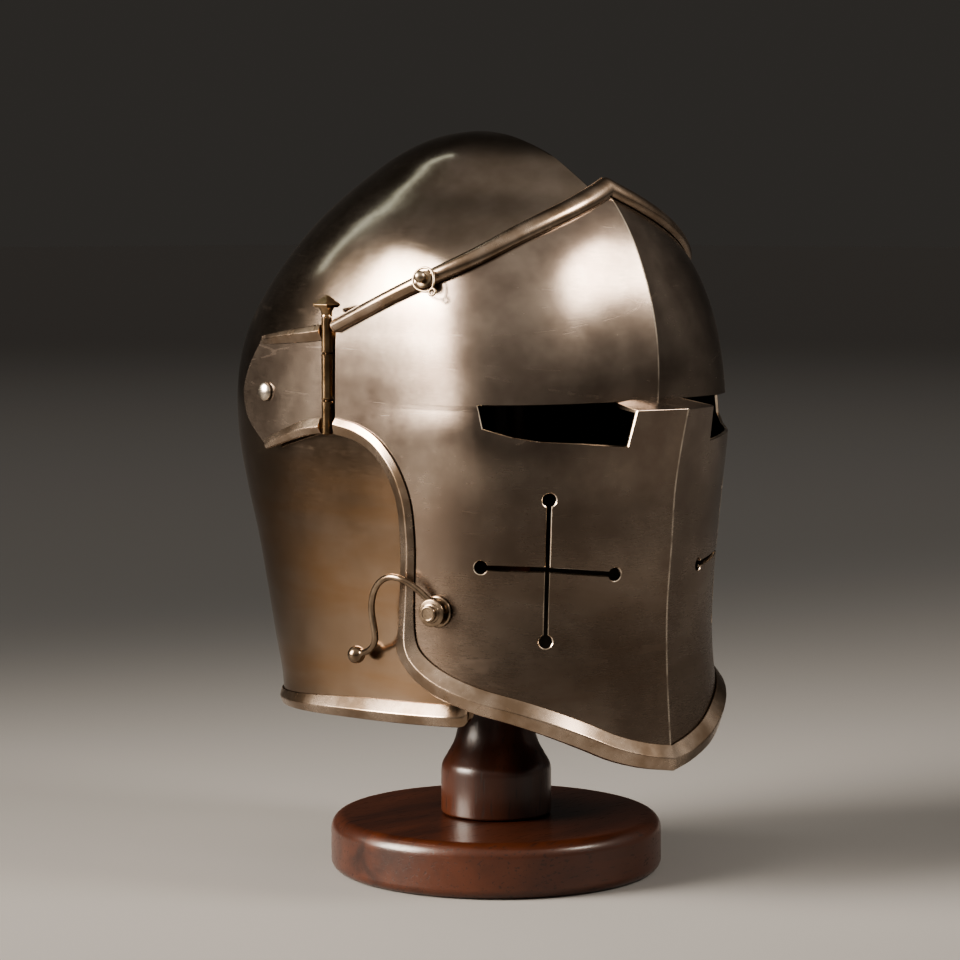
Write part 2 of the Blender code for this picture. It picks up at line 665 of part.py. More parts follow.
def build_arm(side, flip, parts, cutters, steel):
    inset = GAP + LIP
    top = offset_path(smooth_path(ARM_TOP, 8), -inset)
    tail = smooth_path(ARM_TAIL, 7)
    foot = offset_path(smooth_path(ARM_FOOT, 8), -inset)
    outline = [tuple(p) for p in top] + [tuple(p) for p in tail[1:-1]] + [tuple(p) for p in foot]
    columns = np.arange(ARM_START_Y - 4, 96, 11)
    sheet = blank_sheet(f"arm_sheet_{side}", columns, [205, 240, 280], cutters)
    pattern = outline_prism(f"arm_pattern_{side}", outline, -8, 8, cutters)
    add_boolean(sheet, pattern, "INTERSECT")
    place = facing((PIVOT[0], 0, PIVOT[1]), (0, 1, 0))
    hole = turned(f"arm_hole_{side}", [(0, 8), (RIVET_HOLE, 8), (RIVET_HOLE, -8), (0, -8)],
                  16, place, None, cutters)
    mark_as_cutter(hole)
    add_boolean(sheet, hole, "DIFFERENCE")

    def form(y, z, lift):
        point = arm_form(y, z, lift)
        return (point[0] * flip, point[1], point[2])

    arm = raised_plate(f"arm_{side}", sheet, form, steel, parts)
    if flip > 0:
        arm.data.flip_normals()
    for label, path in (("top", ARM_TOP), ("lower", ARM_FOOT)):
        path = smooth_path(path, 8)
        profiles = [between(ARM_RIM, TAIL_RIM, ease(y, 30, 72)) for y, z in path]
        formed_rim(f"arm_{label}_rim_{side}", path, -1, profiles, form, steel, parts)
    return arm


def knuckle(name, low, high, sign, parts, cutters, material):
    """One hollow knuckle of the barrel."""
    profile = [(BARREL_BORE, high), (BARREL_RADIUS, high), (BARREL_RADIUS, low),
               (BARREL_BORE, low), (BARREL_BORE, high)]
    place = Matrix.Translation((BARREL_X * sign * MM, BARREL_Y * MM, 0))
    return turned(name, profile, 14, place, material, parts)


def leaf_cutter(name, sign, y_low, y_high, z_low, z_high, collection):
    """A hinge leaf's block, reaching into the barrel's wall but not into its bore."""
    bpy.ops.mesh.primitive_cube_add(size=1)
    block = bpy.context.active_object
    block.name = name
    for owner in list(block.users_collection):
        owner.objects.unlink(block)
    collection.objects.link(block)
    size = Vector((LEAF, y_high - y_low, z_high - z_low)) * MM
    centre = Vector(((LEAF_FACE - LEAF / 2) * sign, (y_low + y_high) / 2, (z_low + z_high) / 2)) * MM
    block.data.transform(Matrix.Translation(centre) @ Matrix.Diagonal((*size, 1)))
    mark_as_cutter(block)
    return block


def build_hinge(side, sign, parts, cutters, brass):
    top, middle, bottom = KNUCKLES
    shrink = 0.15
    pieces = {}
    for label, (low, high) in (("top", top), ("middle", middle), ("bottom", bottom)):
        name = f"knuckle_{label}_{side}"
        pieces[label] = knuckle(name, low + shrink, high - shrink, sign, parts, cutters, brass)
    front = (BARREL_Y - LEAF_REACH, BARREL_Y)
    rear = (BARREL_Y, BARREL_Y + LEAF_REACH)
    for label, (y_low, y_high) in (("top", rear), ("middle", front), ("bottom", rear)):
        low, high = dict(top=top, middle=middle, bottom=bottom)[label]
        leaf = leaf_cutter(f"leaf_{label}_{side}", sign, y_low, y_high, low + 2.0,
                           min(high - 1.6, LEAF_TOP), cutters)
        add_boolean(pieces[label], leaf, "UNION")
        bore = turned(f"bore_{label}_{side}",
                      [(0, high + 2), (BARREL_BORE, high + 2), (BARREL_BORE, low - 2), (0, low - 2)],
                      14, pieces[label].matrix_world.copy(), None, cutters)
        mark_as_cutter(bore)
        add_boolean(pieces[label], bore, "DIFFERENCE")
    build_pin(side, sign, parts, brass)


def build_pin(side, sign, parts, brass):
    """The removable pin; its finial is a flared neck under a four-sided cap."""
    top = KNUCKLES[0][1]
    place = Matrix.Translation((BARREL_X * sign * MM, BARREL_Y * MM, 0))
    shaft = [(0, top + 5), (3.6, top + 5), (2.4, top + 2.4), (2.9, top + GAP),
             (PIN_RADIUS, top + GAP), (PIN_RADIUS, KNUCKLES[2][0]), (0, KNUCKLES[2][0] - 0.6)]
    pin = turned(f"hinge_pin_{side}", shaft, 14, place, brass, parts)
    bpy.ops.mesh.primitive_cone_add(vertices=4, radius1=6.9 * MM, radius2=0.6 * MM, depth=6.2 * MM)
    cap = bpy.context.active_object
    cap.name = f"finial_{side}"
    for owner in list(cap.users_collection):
        owner.objects.unlink(cap)
    parts_cutters = bpy.data.collections["cutters"]
    parts_cutters.objects.link(cap)
    cap.data.transform(Matrix.Rotation(math.pi / 4, 4, "Z"))
    cap.data.transform(Matrix.Translation((BARREL_X * sign * MM, BARREL_Y * MM, (top + 7.6) * MM)))
    mark_as_cutter(cap)
    add_boolean(pin, cap, "UNION")
    return pin


def build_rivet(side, sign, parts, steel):
    """The pivot: a domed head, a neck through the arm, a spacer and a clench in the skull."""
    y, z = PIVOT
    seat = -arm_form(y, z, 0)[0] + 4.7 * (y - ARM_START_Y) / ARM_BEND_RADIUS + GAP
    row = table_row(SKULL_ROWS, z)
    skull_x, skull_y = back_quarter(row.half, row.mid, row.back, row.full_back, 200)
    skin = float(np.interp(y, skull_y, skull_x))
    shank = RIVET_HOLE - GAP
    slope = 1.4                       # room for the skull's slope behind the clench
    head = [(4.5 * math.cos(a), seat + 2.9 * math.sin(a)) for a in np.linspace(math.pi / 2, 0, 5)]
    profile = head + [(shank, seat), (shank, skin - SHEET - slope),
                      (4.0, skin - SHEET - slope), (4.0, skin - SHEET - slope - 1.2),
                      (0, skin - SHEET - slope - 1.4)]
    profile[0] = (0, profile[0][1])
    place = facing((0, y, z), (sign, 0, 0))
    return turned(f"pivot_rivet_{side}", profile, 14, place, steel, parts)


# ---- hook, spool and peg ----------------------------------------------------------------
def build_spool(parts, cutters, steel):
    point, normal = visor_place(*SPOOL_PLACE)
    profile = [(0, 10.0), (3.2, 9.6), (4.5, 8.6), (4.5, 7.6), (3.0, 7.2), (6.8, 6.9), (6.8, 5.9),
               (2.2, 5.7), (2.2, 1.8), (7.8, 1.5), (7.8, 0.6), (0, 0.6)]
    return turned("spool", profile, 16, facing(point, normal), steel, parts)


def hook_points():
    """Eye round the spool, then up, over and down to the ball."""
    centre, normal = visor_place(*SPOOL_PLACE)
    eye = 2.2 + 0.35 + HOOK_WIRE
    up = np.array([0, 0, 1.0])
    side = np.cross(up, normal)
    side /= np.linalg.norm(side)
    rise = np.cross(normal, side)
    route = smooth_path(HOOK_ROUTE, 4.4)
    points = []
    for angle in np.radians(np.arange(-165, 76, 30)):
        arm = side * math.sin(angle) + rise * math.cos(angle)
        points.append(centre + normal * 3.75 + arm * eye)
    for across, z, lift in route[1:]:
        face, out = visor_place(across, z)
        points.append(face + out * lift)
    return points


def build_hook(parts, cutters, steel):
    points = hook_points()
    hook = wire("s_hook", points, HOOK_WIRE, False, None, parts)
    hook = wire_as_mesh(hook, steel, parts)
    bpy.ops.mesh.primitive_uv_sphere_add(segments=16, ring_count=9, radius=HOOK_BALL * MM)
    ball = bpy.context.active_object
    ball.name = "hook_ball"
    for owner in list(ball.users_collection):
        owner.objects.unlink(ball)
    cutters.objects.link(ball)
    ball.data.transform(Matrix.Translation(Vector(points[-1]) * MM))
    mark_as_cutter(ball)
    add_boolean(hook, ball, "UNION")
    return hook


def build_peg(parts, steel):
    """Ball-headed peg on the top rim, standing in a small pear-shaped ring."""
    point, normal = visor_place(*PEG_PLACE)
    seat = 5.6
    profile = [(0, 12.4), (1.8, 11.9), (2.9, 10.6), (3.1, 9.4), (2.7, 8.2), (1.7, 7.3), (1.7, seat + 0.4),
               (2.6, seat), (0, seat)]
    turned("peg", profile, 14, facing(point, normal), steel, parts)
    up = np.array([0, 0, 1.0])
    side = np.cross(up, normal)
    side /= np.linalg.norm(side)
    rise = np.cross(normal, side)
    tip = (side - rise) * math.sqrt(0.5)
    flank = (side + rise) * math.sqrt(0.5)
    loop = []
    for angle in np.linspace(0, math.tau, 18, endpoint=False):
        stretch = 1.0 + 0.25 * max(0.0, math.cos(angle)) ** 3
        arm = flank * math.sin(angle) * 5.0 + tip * math.cos(angle) * 5.3 * stretch
        loop.append(point + normal * (seat + 1.1) + arm)
    ring = wire("peg_ring", loop, 0.75, True, None, parts)
    wire_as_mesh(ring, steel, parts)


# ---- stand ------------------------------------------------------------------------------
def rounded(radius, height, size, steps, top):
    """Quarter round on a turned edge, at the top or at the bottom of a cylinder."""
    corner = []
    for angle in np.linspace(0, math.pi / 2, steps):
        if top:
            corner.append((radius - size + size * math.sin(angle), height - size + size * math.cos(angle)))
        else:
            corner.append((radius - size + size * math.cos(angle), height + size - size * math.sin(angle)))
    return corner


def build_stand(parts, wood):
    identity = Matrix.Identity(4)
    base = [(0, BASE_HEIGHT)] + rounded(BASE_RADIUS, BASE_HEIGHT, 7, 4, True)
    base += rounded(BASE_RADIUS, 0, 5, 3, False) + [(0, 0)]
    turned("stand_base", base, 44, identity, wood, parts)
    foot = BASE_HEIGHT + GAP
    post = [(0, 336), (POST_RADIUS, 336), (POST_RADIUS, 92), (19.0, 72), (21.3, 63),
            (24.8, 56.5), (27.2, 52), (27.7, 48.5), (27.7, foot + 1.5), (26.6, foot), (0, foot)]
    turned("stand_post", post, 24, identity, wood, parts)
    dome = [(r, REST_TOP - r * r / 66) for r in np.linspace(0, REST_RADIUS, 5)]
    rest = dome + [(REST_RADIUS, REST_TOP - 20), (REST_RADIUS - 3, 336 + GAP), (0, 336 + GAP)]
    turned("stand_rest", rest, 20, identity, wood, parts)


def build_all():
    clear_scene()
    parts = new_collection("visored barbute on stand")
    cutters = new_collection("cutters")
    steel = new_material("brushed_steel", (0.42, 0.38, 0.34), 1.0, 0.32)
    rim_steel = new_material("rim_steel", (0.55, 0.49, 0.42), 1.0, 0.28)
    fitting_steel = new_material("fitting_steel", (0.60, 0.57, 0.52), 1.0, 0.25)
    brass = new_material("aged_brass", (0.45, 0.33, 0.17), 1.0, 0.35)
    wood = new_material("varnished_wood", (0.13, 0.045, 0.02), 0.0, 0.3)
    build_skull(parts, cutters, steel)
    build_skull_rim(parts, rim_steel)
    build_visor(parts, cutters, steel)
    build_visor_rims(parts, rim_steel)
    for side, sign in (("right", -1), ("left", 1)):
        build_arm(side, -sign, parts, cutters, steel)
        build_hinge(side, sign, parts, cutters, brass)
        build_rivet(side, sign, parts, fitting_steel)
    build_spool(parts, cutters, fitting_steel)
    build_hook(parts, cutters, fitting_steel)
    build_peg(parts, fitting_steel)
    build_stand(parts, wood)


build_all()
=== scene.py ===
"""Finished pieces of the visored barbute helmet and its turned stand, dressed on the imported
model. Tables are in millimetres and MM turns them into metres. +Z is up, the face looks
along -Y and the wearer's right is -X."""

import math
from collections import namedtuple

import bpy
import numpy as np
from mathutils import Matrix, Vector


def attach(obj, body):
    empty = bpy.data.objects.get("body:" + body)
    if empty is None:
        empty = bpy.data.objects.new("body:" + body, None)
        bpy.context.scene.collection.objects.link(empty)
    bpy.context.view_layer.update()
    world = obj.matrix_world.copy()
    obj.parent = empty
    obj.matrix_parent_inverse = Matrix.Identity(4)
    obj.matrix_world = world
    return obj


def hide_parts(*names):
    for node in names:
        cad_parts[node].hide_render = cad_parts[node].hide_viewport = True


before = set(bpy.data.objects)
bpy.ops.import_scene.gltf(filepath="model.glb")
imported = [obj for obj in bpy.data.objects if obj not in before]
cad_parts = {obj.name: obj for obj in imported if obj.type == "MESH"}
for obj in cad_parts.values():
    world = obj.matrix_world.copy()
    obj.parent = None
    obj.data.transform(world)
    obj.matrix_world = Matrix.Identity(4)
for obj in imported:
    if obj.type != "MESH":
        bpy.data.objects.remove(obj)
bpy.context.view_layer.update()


# ======== bowl ===========================================================================
# One sheet of steel raised into a deep bowl, pinched to a keel from the brow to the crown,
# with the face cut out of it. Brushed all over, and browned low down behind the ear by stains that
# are partly a painted reflection of a warm glow.
MM = 0.001
GAP = 0.3
SHEET = 1.6
LIP = 1.3

SkullRow = namedtuple("SkullRow", "z half mid front back full_front full_back keel keel_width")
CROWN = 368.2
SKULL_ROWS = [SkullRow(*row) for row in (
    # z, half, mid, front, back, full_front, full_back, keel, keel_width
    (368.2,    0,   12,    12,    12,    2,   2,  0,  4),
    (367.6,  7.5,   12,     3,    20,    2,   2,  2,  6),
    (365.8,   16, 13.5,    -8,    31,    2,   2,  5, 14),
    (  362, 25.5,   15,   -21,    43,    2,   2,  9, 24),
    (  356,   35,   17,   -36,    56,    2,   2, 13, 32),
    (347.5, 44.5,   19,   -50,    70,    2,   2, 15, 38),
    (  337,   55,   21,   -65,    83,    2, 2.1, 16, 42),
    (  324,   66, 22.5, -78.5,    97, 2.25, 2.2, 13, 46),
    (  308,   76,   24,   -88, 110.5,  2.6, 2.3,  9, 50),
    (  290,   83,   25, -94.5, 124.5,  2.8, 2.4,  7, 55),
    (  268,   88,   25,   -98,   138,    3, 2.5,  6, 60),
    (  240,   90,   25,   -99,   146,    3, 2.5,  6, 60),
    (  215,   90,   25,   -99, 144.5,  2.9, 2.5,  6, 60),
    (  190,   89,   25,   -99, 137.5,  2.8, 2.5,  6, 60),
    (  165,   88,   25,   -99,   128,  2.8, 2.5,  6, 60),
    (  140,   87,   25,   -99, 120.5,  2.8, 2.5,  6, 60),
    (  115, 86.5,   25,   -99,   113,  2.8, 2.5,  6, 60),
    (   95, 86.5,   25,  -100,   106,  2.8, 2.5,  6, 60),
    (   80,   87,   25,  -101, 104.5,  2.8, 2.5,  6, 60),
)]
HEM_HEIGHT = 84.0
HEM_SLOPE = 0.022
HEM_FROM = 130.0
SKULL_GIRTH = 320.0
SKULL_FOOT = 74.0
FACE_OPENING = [(-140, 60), (-50.5, 60), (-50.5, 86.2), (-52.6, 86.9), (-54.4, 88.2), (-55.6, 90.2),
                (-56, 92.5), (-54, 120), (-50, 150), (-48, 180), (-49, 210), (-54, 235),
                (-66, 253), (-88, 262), (-140, 264)]
CHEEK_EDGE = -55.5
PIVOT = (68.0, 240.0)
RIVET_HOLE = 2.7


def unit(vectors):
    return vectors / np.linalg.norm(vectors, axis=-1, keepdims=True)


def smooth_value(at, stops, values):
    """Cubic reading of a table column, for one place or many. Stops ascend."""
    stops = np.asarray(stops, float)
    values = np.asarray(values, float)
    slopes = np.gradient(values, stops)
    at = np.clip(at, stops[0], stops[-1])
    i = np.clip(np.searchsorted(stops, at) - 1, 0, len(stops) - 2)
    width = stops[i + 1] - stops[i]
    t = (at - stops[i]) / width
    blend = 3 * t ** 2 - 2 * t ** 3
    bend = (t ** 3 - 2 * t ** 2 + t) * slopes[i] + (t ** 3 - t ** 2) * slopes[i + 1]
    return (1 - blend) * values[i] + blend * values[i + 1] + width * bend


def front_quarter(half, mid, front, full, keel, keel_width, count):
    """Keel to widest point: a rounded square drawn out to a keel in the middle plane."""
    turn = np.linspace(0.0, math.pi / 2, count)
    reach = mid - (front + keel)
    x = half * np.sin(turn) ** (2 / full)
    y = mid - reach * np.cos(turn) ** (2 / full)
    return x, y - keel * np.clip(1 - x / keel_width, 0, None) ** 2


def back_quarter(half, mid, back, full, count):
    turn = np.linspace(0.0, math.pi / 2, count)
    return half * np.cos(turn) ** (2 / full), mid + (back - mid) * np.sin(turn) ** (2 / full)


def along(x, y, shares):
    """Points at the given shares of a line's length."""
    length = np.concatenate([[0.0], np.cumsum(np.hypot(np.diff(x), np.diff(y)))])
    at = np.asarray(shares) * length[-1]
    return np.stack([np.interp(at, length, x), np.interp(at, length, y)], axis=1)


class Form:
    """The outer face of raised sheet, read by the distance round it and the height."""

    def __init__(self, section, levels, girth, shares=481):
        self.levels = -np.asarray(levels, float)
        self.girth = girth
        self.table = np.array([section(z, np.linspace(0, 1, shares)) for z in levels])

    def point(self, across, z):
        across, z = np.broadcast_arrays(np.asarray(across, float), np.asarray(z, float))
        rows, columns = self.table.shape[:2]
        row = np.interp(-z, self.levels, np.arange(rows))
        column = np.clip(np.abs(across) / self.girth, 0, 1) * (columns - 1)
        i = np.minimum(row.astype(int), rows - 2)
        j = np.minimum(column.astype(int), columns - 2)
        down = (row - i)[..., None]
        round_ = (column - j)[..., None]
        upper = self.table[i, j] * (1 - round_) + self.table[i, j + 1] * round_
        lower = self.table[i + 1, j] * (1 - round_) + self.table[i + 1, j + 1] * round_
        flat = upper * (1 - down) + lower * down
        return np.stack([flat[..., 0] * np.where(across < 0, -1, 1), flat[..., 1], z], axis=-1)

    def normal(self, across, z, step=0.6):
        run = self.point(across + step, z) - self.point(across - step, z)
        rise = self.point(across, z + step) - self.point(across, z - step)
        return unit(np.cross(run, rise))

    def raised(self, across, z, lift):
        return self.point(across, z) + self.normal(across, z) * np.asarray(lift)[..., None]


def depth_root(z):
    """Sections change evenly with this measure, even over the crown."""
    return np.sqrt(np.clip(CROWN - np.asarray(z, float), 0, None))


def skull_section(z, shares):
    columns = list(zip(*SKULL_ROWS))
    stops = depth_root(columns[0])
    row = SkullRow(z, *(float(smooth_value(depth_root(z), stops, c)) for c in columns[1:]))
    front = front_quarter(row.half, row.mid, row.front, row.full_front, row.keel,
                          max(row.keel_width, 1), 160)
    back = back_quarter(row.half, row.mid, row.back, row.full_back, 160)
    return along(np.append(front[0], back[0][1:]), np.append(front[1], back[1][1:]), shares)


def level_share(t):
    """Share of the bowl's depth at share t of its rings: fine at the crown, even below."""
    return t * t * (2 - t)


skull_form = Form(skull_section, CROWN - (CROWN - SKULL_FOOT) * level_share(np.linspace(0, 1, 420)),
                  SKULL_GIRTH)


def mode(name):
    bpy.ops.object.mode_set(mode=name)


def pick_all():
    bpy.ops.mesh.select_all(action="SELECT")


def unpick():
    """Leave no corner of the active mesh selected."""
    mode("EDIT")
    bpy.ops.mesh.select_all(action="DESELECT")
    mode("OBJECT")


def push(by):
    """Extrude the faces picked."""
    bpy.ops.mesh.extrude_region_move(TRANSFORM_OT_translate={"value": Vector(by) * MM})


def nothing_selected():
    if bpy.context.object and bpy.context.object.mode != "OBJECT":
        mode("OBJECT")
    bpy.ops.object.select_all(action="DESELECT")


def made(name):
    """Name the piece just added and its mesh."""
    piece = bpy.context.object
    piece.name = name
    piece.data.name = name
    return piece


def only(piece):
    """Leave object mode with this piece alone selected and active."""
    nothing_selected()
    piece.select_set(True)
    bpy.context.view_layer.objects.active = piece


def apply_modifier(piece, kind, **settings):
    only(piece)
    modifier = piece.modifiers.new(kind.title(), kind)
    for key, value in settings.items():
        setattr(modifier, key, value)
    bpy.ops.object.modifier_apply(modifier=modifier.name)


def read(items, key, width=3, kind=float):
    values = np.empty(len(items) * width, kind)
    items.foreach_get(key, values)
    return values.reshape(-1, width)


def corners(piece):
    return read(piece.data.vertices, "co")


def set_corners(piece, spots):
    piece.data.vertices.foreach_set("co", np.asarray(spots, float).ravel())
    piece.data.update()


def cut_with(piece, cutter, operation="DIFFERENCE"):
    apply_modifier(piece, "BOOLEAN", operation=operation, object=cutter, solver="EXACT")
    bpy.data.objects.remove(cutter)


def drilled(piece, place, turn, depth):
    """Make the pivot rivet's hole through a piece."""
    bpy.ops.mesh.primitive_cylinder_add(vertices=32, radius=RIVET_HOLE * MM, depth=depth,
                                        location=Vector(place) * MM, rotation=turn)
    cut_with(piece, bpy.context.object)


def cleaned(piece, distance=0.00001, sides=8, outwards=True):
    """Join corners that meet and close holes of up to so many sides, or all for 0."""
    only(piece)
    mode("EDIT")
    pick_all()
    bpy.ops.mesh.remove_doubles(threshold=distance)
    bpy.ops.mesh.fill_holes(sides=sides)
    if outwards:
        bpy.ops.mesh.normals_make_consistent(inside=False)
    mode("OBJECT")


def drawn_line(name, points):
    """A line drawn corner by corner, by extruding one point. It is left in edit mode."""
    nothing_selected()
    points = [Vector(point) * MM for point in points]
    bpy.ops.mesh.primitive_plane_add(size=MM)
    line = made(name)
    mode("EDIT")
    bpy.ops.mesh.merge(type="CENTER")
    bpy.ops.transform.translate(value=points[0])
    for before, after in zip(points, points[1:]):
        bpy.ops.mesh.extrude_vertices_move(TRANSFORM_OT_translate={"value": after - before})
    pick_all()
    return line


def let_out(outline, distance):
    """A closed outline moved outwards all round."""
    outline = np.asarray(outline, float)
    following = np.roll(outline, -1, axis=0)
    turn = np.sum(outline[:, 0] * following[:, 1] - outline[:, 1] * following[:, 0])
    after = unit(following - outline)
    out = np.stack([after[:, 1], -after[:, 0]], axis=1) * np.sign(turn)
    mitre = out + np.roll(out, 1, axis=0)
    return outline + mitre * (2 * distance / np.sum(mitre * mitre, axis=1)[:, None])


def outline_block(name, outline, start, end, chamfer=None):
    """A closed outline (x, z) pushed along y from start to end. A chamfer (from, to) insets
    it on the way by as much as it moves."""
    block = drawn_line(name, [(x, start, z) for x, z in (*outline, outline[0])])
    bpy.ops.mesh.remove_doubles(threshold=0.000001)
    bpy.ops.mesh.edge_face_add()
    stops = chamfer or (end, end)
    push((0, stops[0] - start, 0))
    if chamfer:
        inset = (stops[1] - stops[0]) * MM
        bpy.ops.mesh.inset(thickness=abs(inset), use_even_offset=True)
        bpy.ops.transform.translate(value=(0, inset, 0))
        push((0, end - stops[1], 0))
    cleaned(block, 0.000001)
    return block


def smooth_to(piece, angle):
    """Smooth shading, but for edges sharper than the angle in degrees."""
    piece.data.shade_smooth()
    piece.data.set_sharp_from_angle(angle=math.radians(angle))


def shaded_by_form(piece, normals, limit=14.0):
    """Give the raised faces the form's own normals, and leave cut edges flat."""
    mesh = piece.data
    mesh.shade_smooth()
    near = math.cos(math.radians(limit))
    totals = read(mesh.polygons, "loop_total", 1, int)[:, 0]
    faces = np.repeat(read(mesh.polygons, "normal"), totals, axis=0)
    wanted = normals[read(mesh.loops, "vertex_index", 1, int)[:, 0]]
    agree = np.sum(wanted * faces, axis=1)[:, None]
    custom = np.where(agree > near, wanted, faces)
    custom = np.where(agree < -near, -wanted, custom)
    mesh.normals_split_custom_set(custom.tolist())


def bowl():
    nothing_selected()
    half_turns = 96
    rings = 110
    bpy.ops.mesh.primitive_uv_sphere_add(segments=2 * half_turns, ring_count=2 * rings, radius=1)
    shell = made("bowl")
    spots = corners(shell)
    polar = np.arccos(np.clip(spots[:, 2], -1, 1)) / (math.pi / 2)
    around = np.arctan2(spots[:, 0], -spots[:, 1]) / math.pi
    share = np.round(np.abs(around) * half_turns) / half_turns
    side = np.where(around < 0, -1.0, 1.0)
    t = np.clip(np.round(polar * rings) / rings, 0, 1)
    low = HEM_HEIGHT + LIP + GAP
    z = CROWN - (CROWN - low) * level_share(t)
    place = skull_form.point(share * SKULL_GIRTH, z)
    z = z - HEM_SLOPE * place[:, 1] * np.clip((HEM_FROM - z) / (HEM_FROM - low), 0, 1)
    place = skull_form.point(share * SKULL_GIRTH * side, z)
    place[:, 0] = np.where((share == 0) | (share == 1), 0, place[:, 0])
    unpick()
    shell.data.vertices.foreach_set("select", polar > 1.001)
    set_corners(shell, place * MM)
    mode("EDIT")
    bpy.ops.mesh.delete(type="VERT")
    mode("OBJECT")
    cleaned(shell, 0.000001)
    apply_modifier(shell, "SOLIDIFY", thickness=SHEET * MM, offset=-1)
    opening = outline_block("face_opening", FACE_OPENING, -120, 120)
    opening.data.transform(Matrix.Rotation(math.pi / 2, 4, "Z"))
    cut_with(shell, opening)
    drilled(shell, (0, *PIVOT), (0, math.pi / 2, 0), 0.3)
    smooth_to(shell, 40)
    return shell


def reckoned_by(operation, swapped=False):
    """An operator that adds a maths node to the tree of the reading it is called on."""
    def reckoned(first, second):
        pair = (second, first) if swapped else (first, second)
        return first.nodes.node("ShaderNodeMath", {"operation": operation}, dict(enumerate(pair)))
    return reckoned


class Reading:
    """A socket of a node tree, so that its maths can be written as an expression."""

    def __init__(self, nodes, socket):
        self.nodes = nodes
        self.socket = socket

    __add__ = reckoned_by("ADD")
    __radd__ = reckoned_by("ADD", swapped=True)
    __sub__ = reckoned_by("SUBTRACT")
    __rsub__ = reckoned_by("SUBTRACT", swapped=True)
    __mul__ = reckoned_by("MULTIPLY")
    __rmul__ = reckoned_by("MULTIPLY", swapped=True)


class Nodes:
    """A node tree under way: its nodes are added by what they read."""

    def __init__(self, tree):
        self.tree = tree

    def node(self, kind, settings=None, sockets=None, out=0):
        node = self.tree.nodes.new(kind)
        for key, value in (settings or {}).items():
            setattr(node, key, value)
        for key, value in (sockets or {}).items():
            if isinstance(value, Reading):
                self.tree.links.new(value.socket, node.inputs[key])
            else:
                node.inputs[key].default_value = value
        return Reading(self, node.outputs[out])


class Finish(Nodes):
    """A material under way."""

    def __init__(self, name, **uniform):
        self.material = bpy.data.materials.new(name)
        self.material.use_nodes = True
        super().__init__(self.material.node_tree)
        self.shader = self.tree.nodes["Principled BSDF"]
        for key, value in uniform.items():
            self.shader.inputs[key.replace("_", " ")].default_value = value
        self.place = self.node("ShaderNodeTexCoord", out="Object")

    def part(self, axis):
        """One coordinate of the place on the piece, in metres."""
        return self.node("ShaderNodeSeparateXYZ", sockets={0: self.place}, out=axis)

    def noise(self, scale, detail, roughness, stretch=(1, 1, 1), turn=(0, 0, 0), distort=0.0):
        """Cloudy pattern, 0 to 1; scale is in patches to a metre."""
        place = self.node("ShaderNodeMapping",
                          sockets={"Vector": self.place, "Scale": stretch, "Rotation": turn})
        return self.node("ShaderNodeTexNoise", sockets={
            "Vector": place, "Scale": scale, "Detail": detail, "Roughness": roughness,
            "Distortion": distort})

    def between(self, value, low, high, least=0.0, most=1.0):
        """least below low, most above high, and smooth between."""
        return self.node("ShaderNodeMapRange", {"interpolation_type": "SMOOTHSTEP"},
                         {0: value, 1: low, 2: high, 3: least, 4: most})

    def size_of(self, value):
        return self.node("ShaderNodeMath", {"operation": "ABSOLUTE"}, {0: value})

    def hairlines(self, scale, turn):
        """Long thin scratches: one level line of a drawn-out pattern, broken up."""
        drawn = self.noise(scale, 0, 0.4, stretch=(0.12, 0.12, 1.0), turn=turn)
        line = self.between(self.size_of(drawn - 0.5), 0.0, 0.006, 1.0, 0.0)
        return line * self.between(self.noise(70, 2, 0.5, turn=turn), 0.50, 0.62)

    def blend(self, share, first, second):
        first, second = ((*c, 1) if isinstance(c, tuple) else c for c in (first, second))
        return self.node("ShaderNodeMix", {"data_type": "RGBA"}, {0: share, 6: first, 7: second},
                         out=2)

    def feeds(self, **sockets):
        for key, value in sockets.items():
            self.tree.links.new(value.socket, self.shader.inputs[key.replace("_", " ")])

    def bump(self, height, distance, strength):
        return self.node("ShaderNodeBump", sockets={
            "Height": height, "Distance": distance, "Strength": strength})


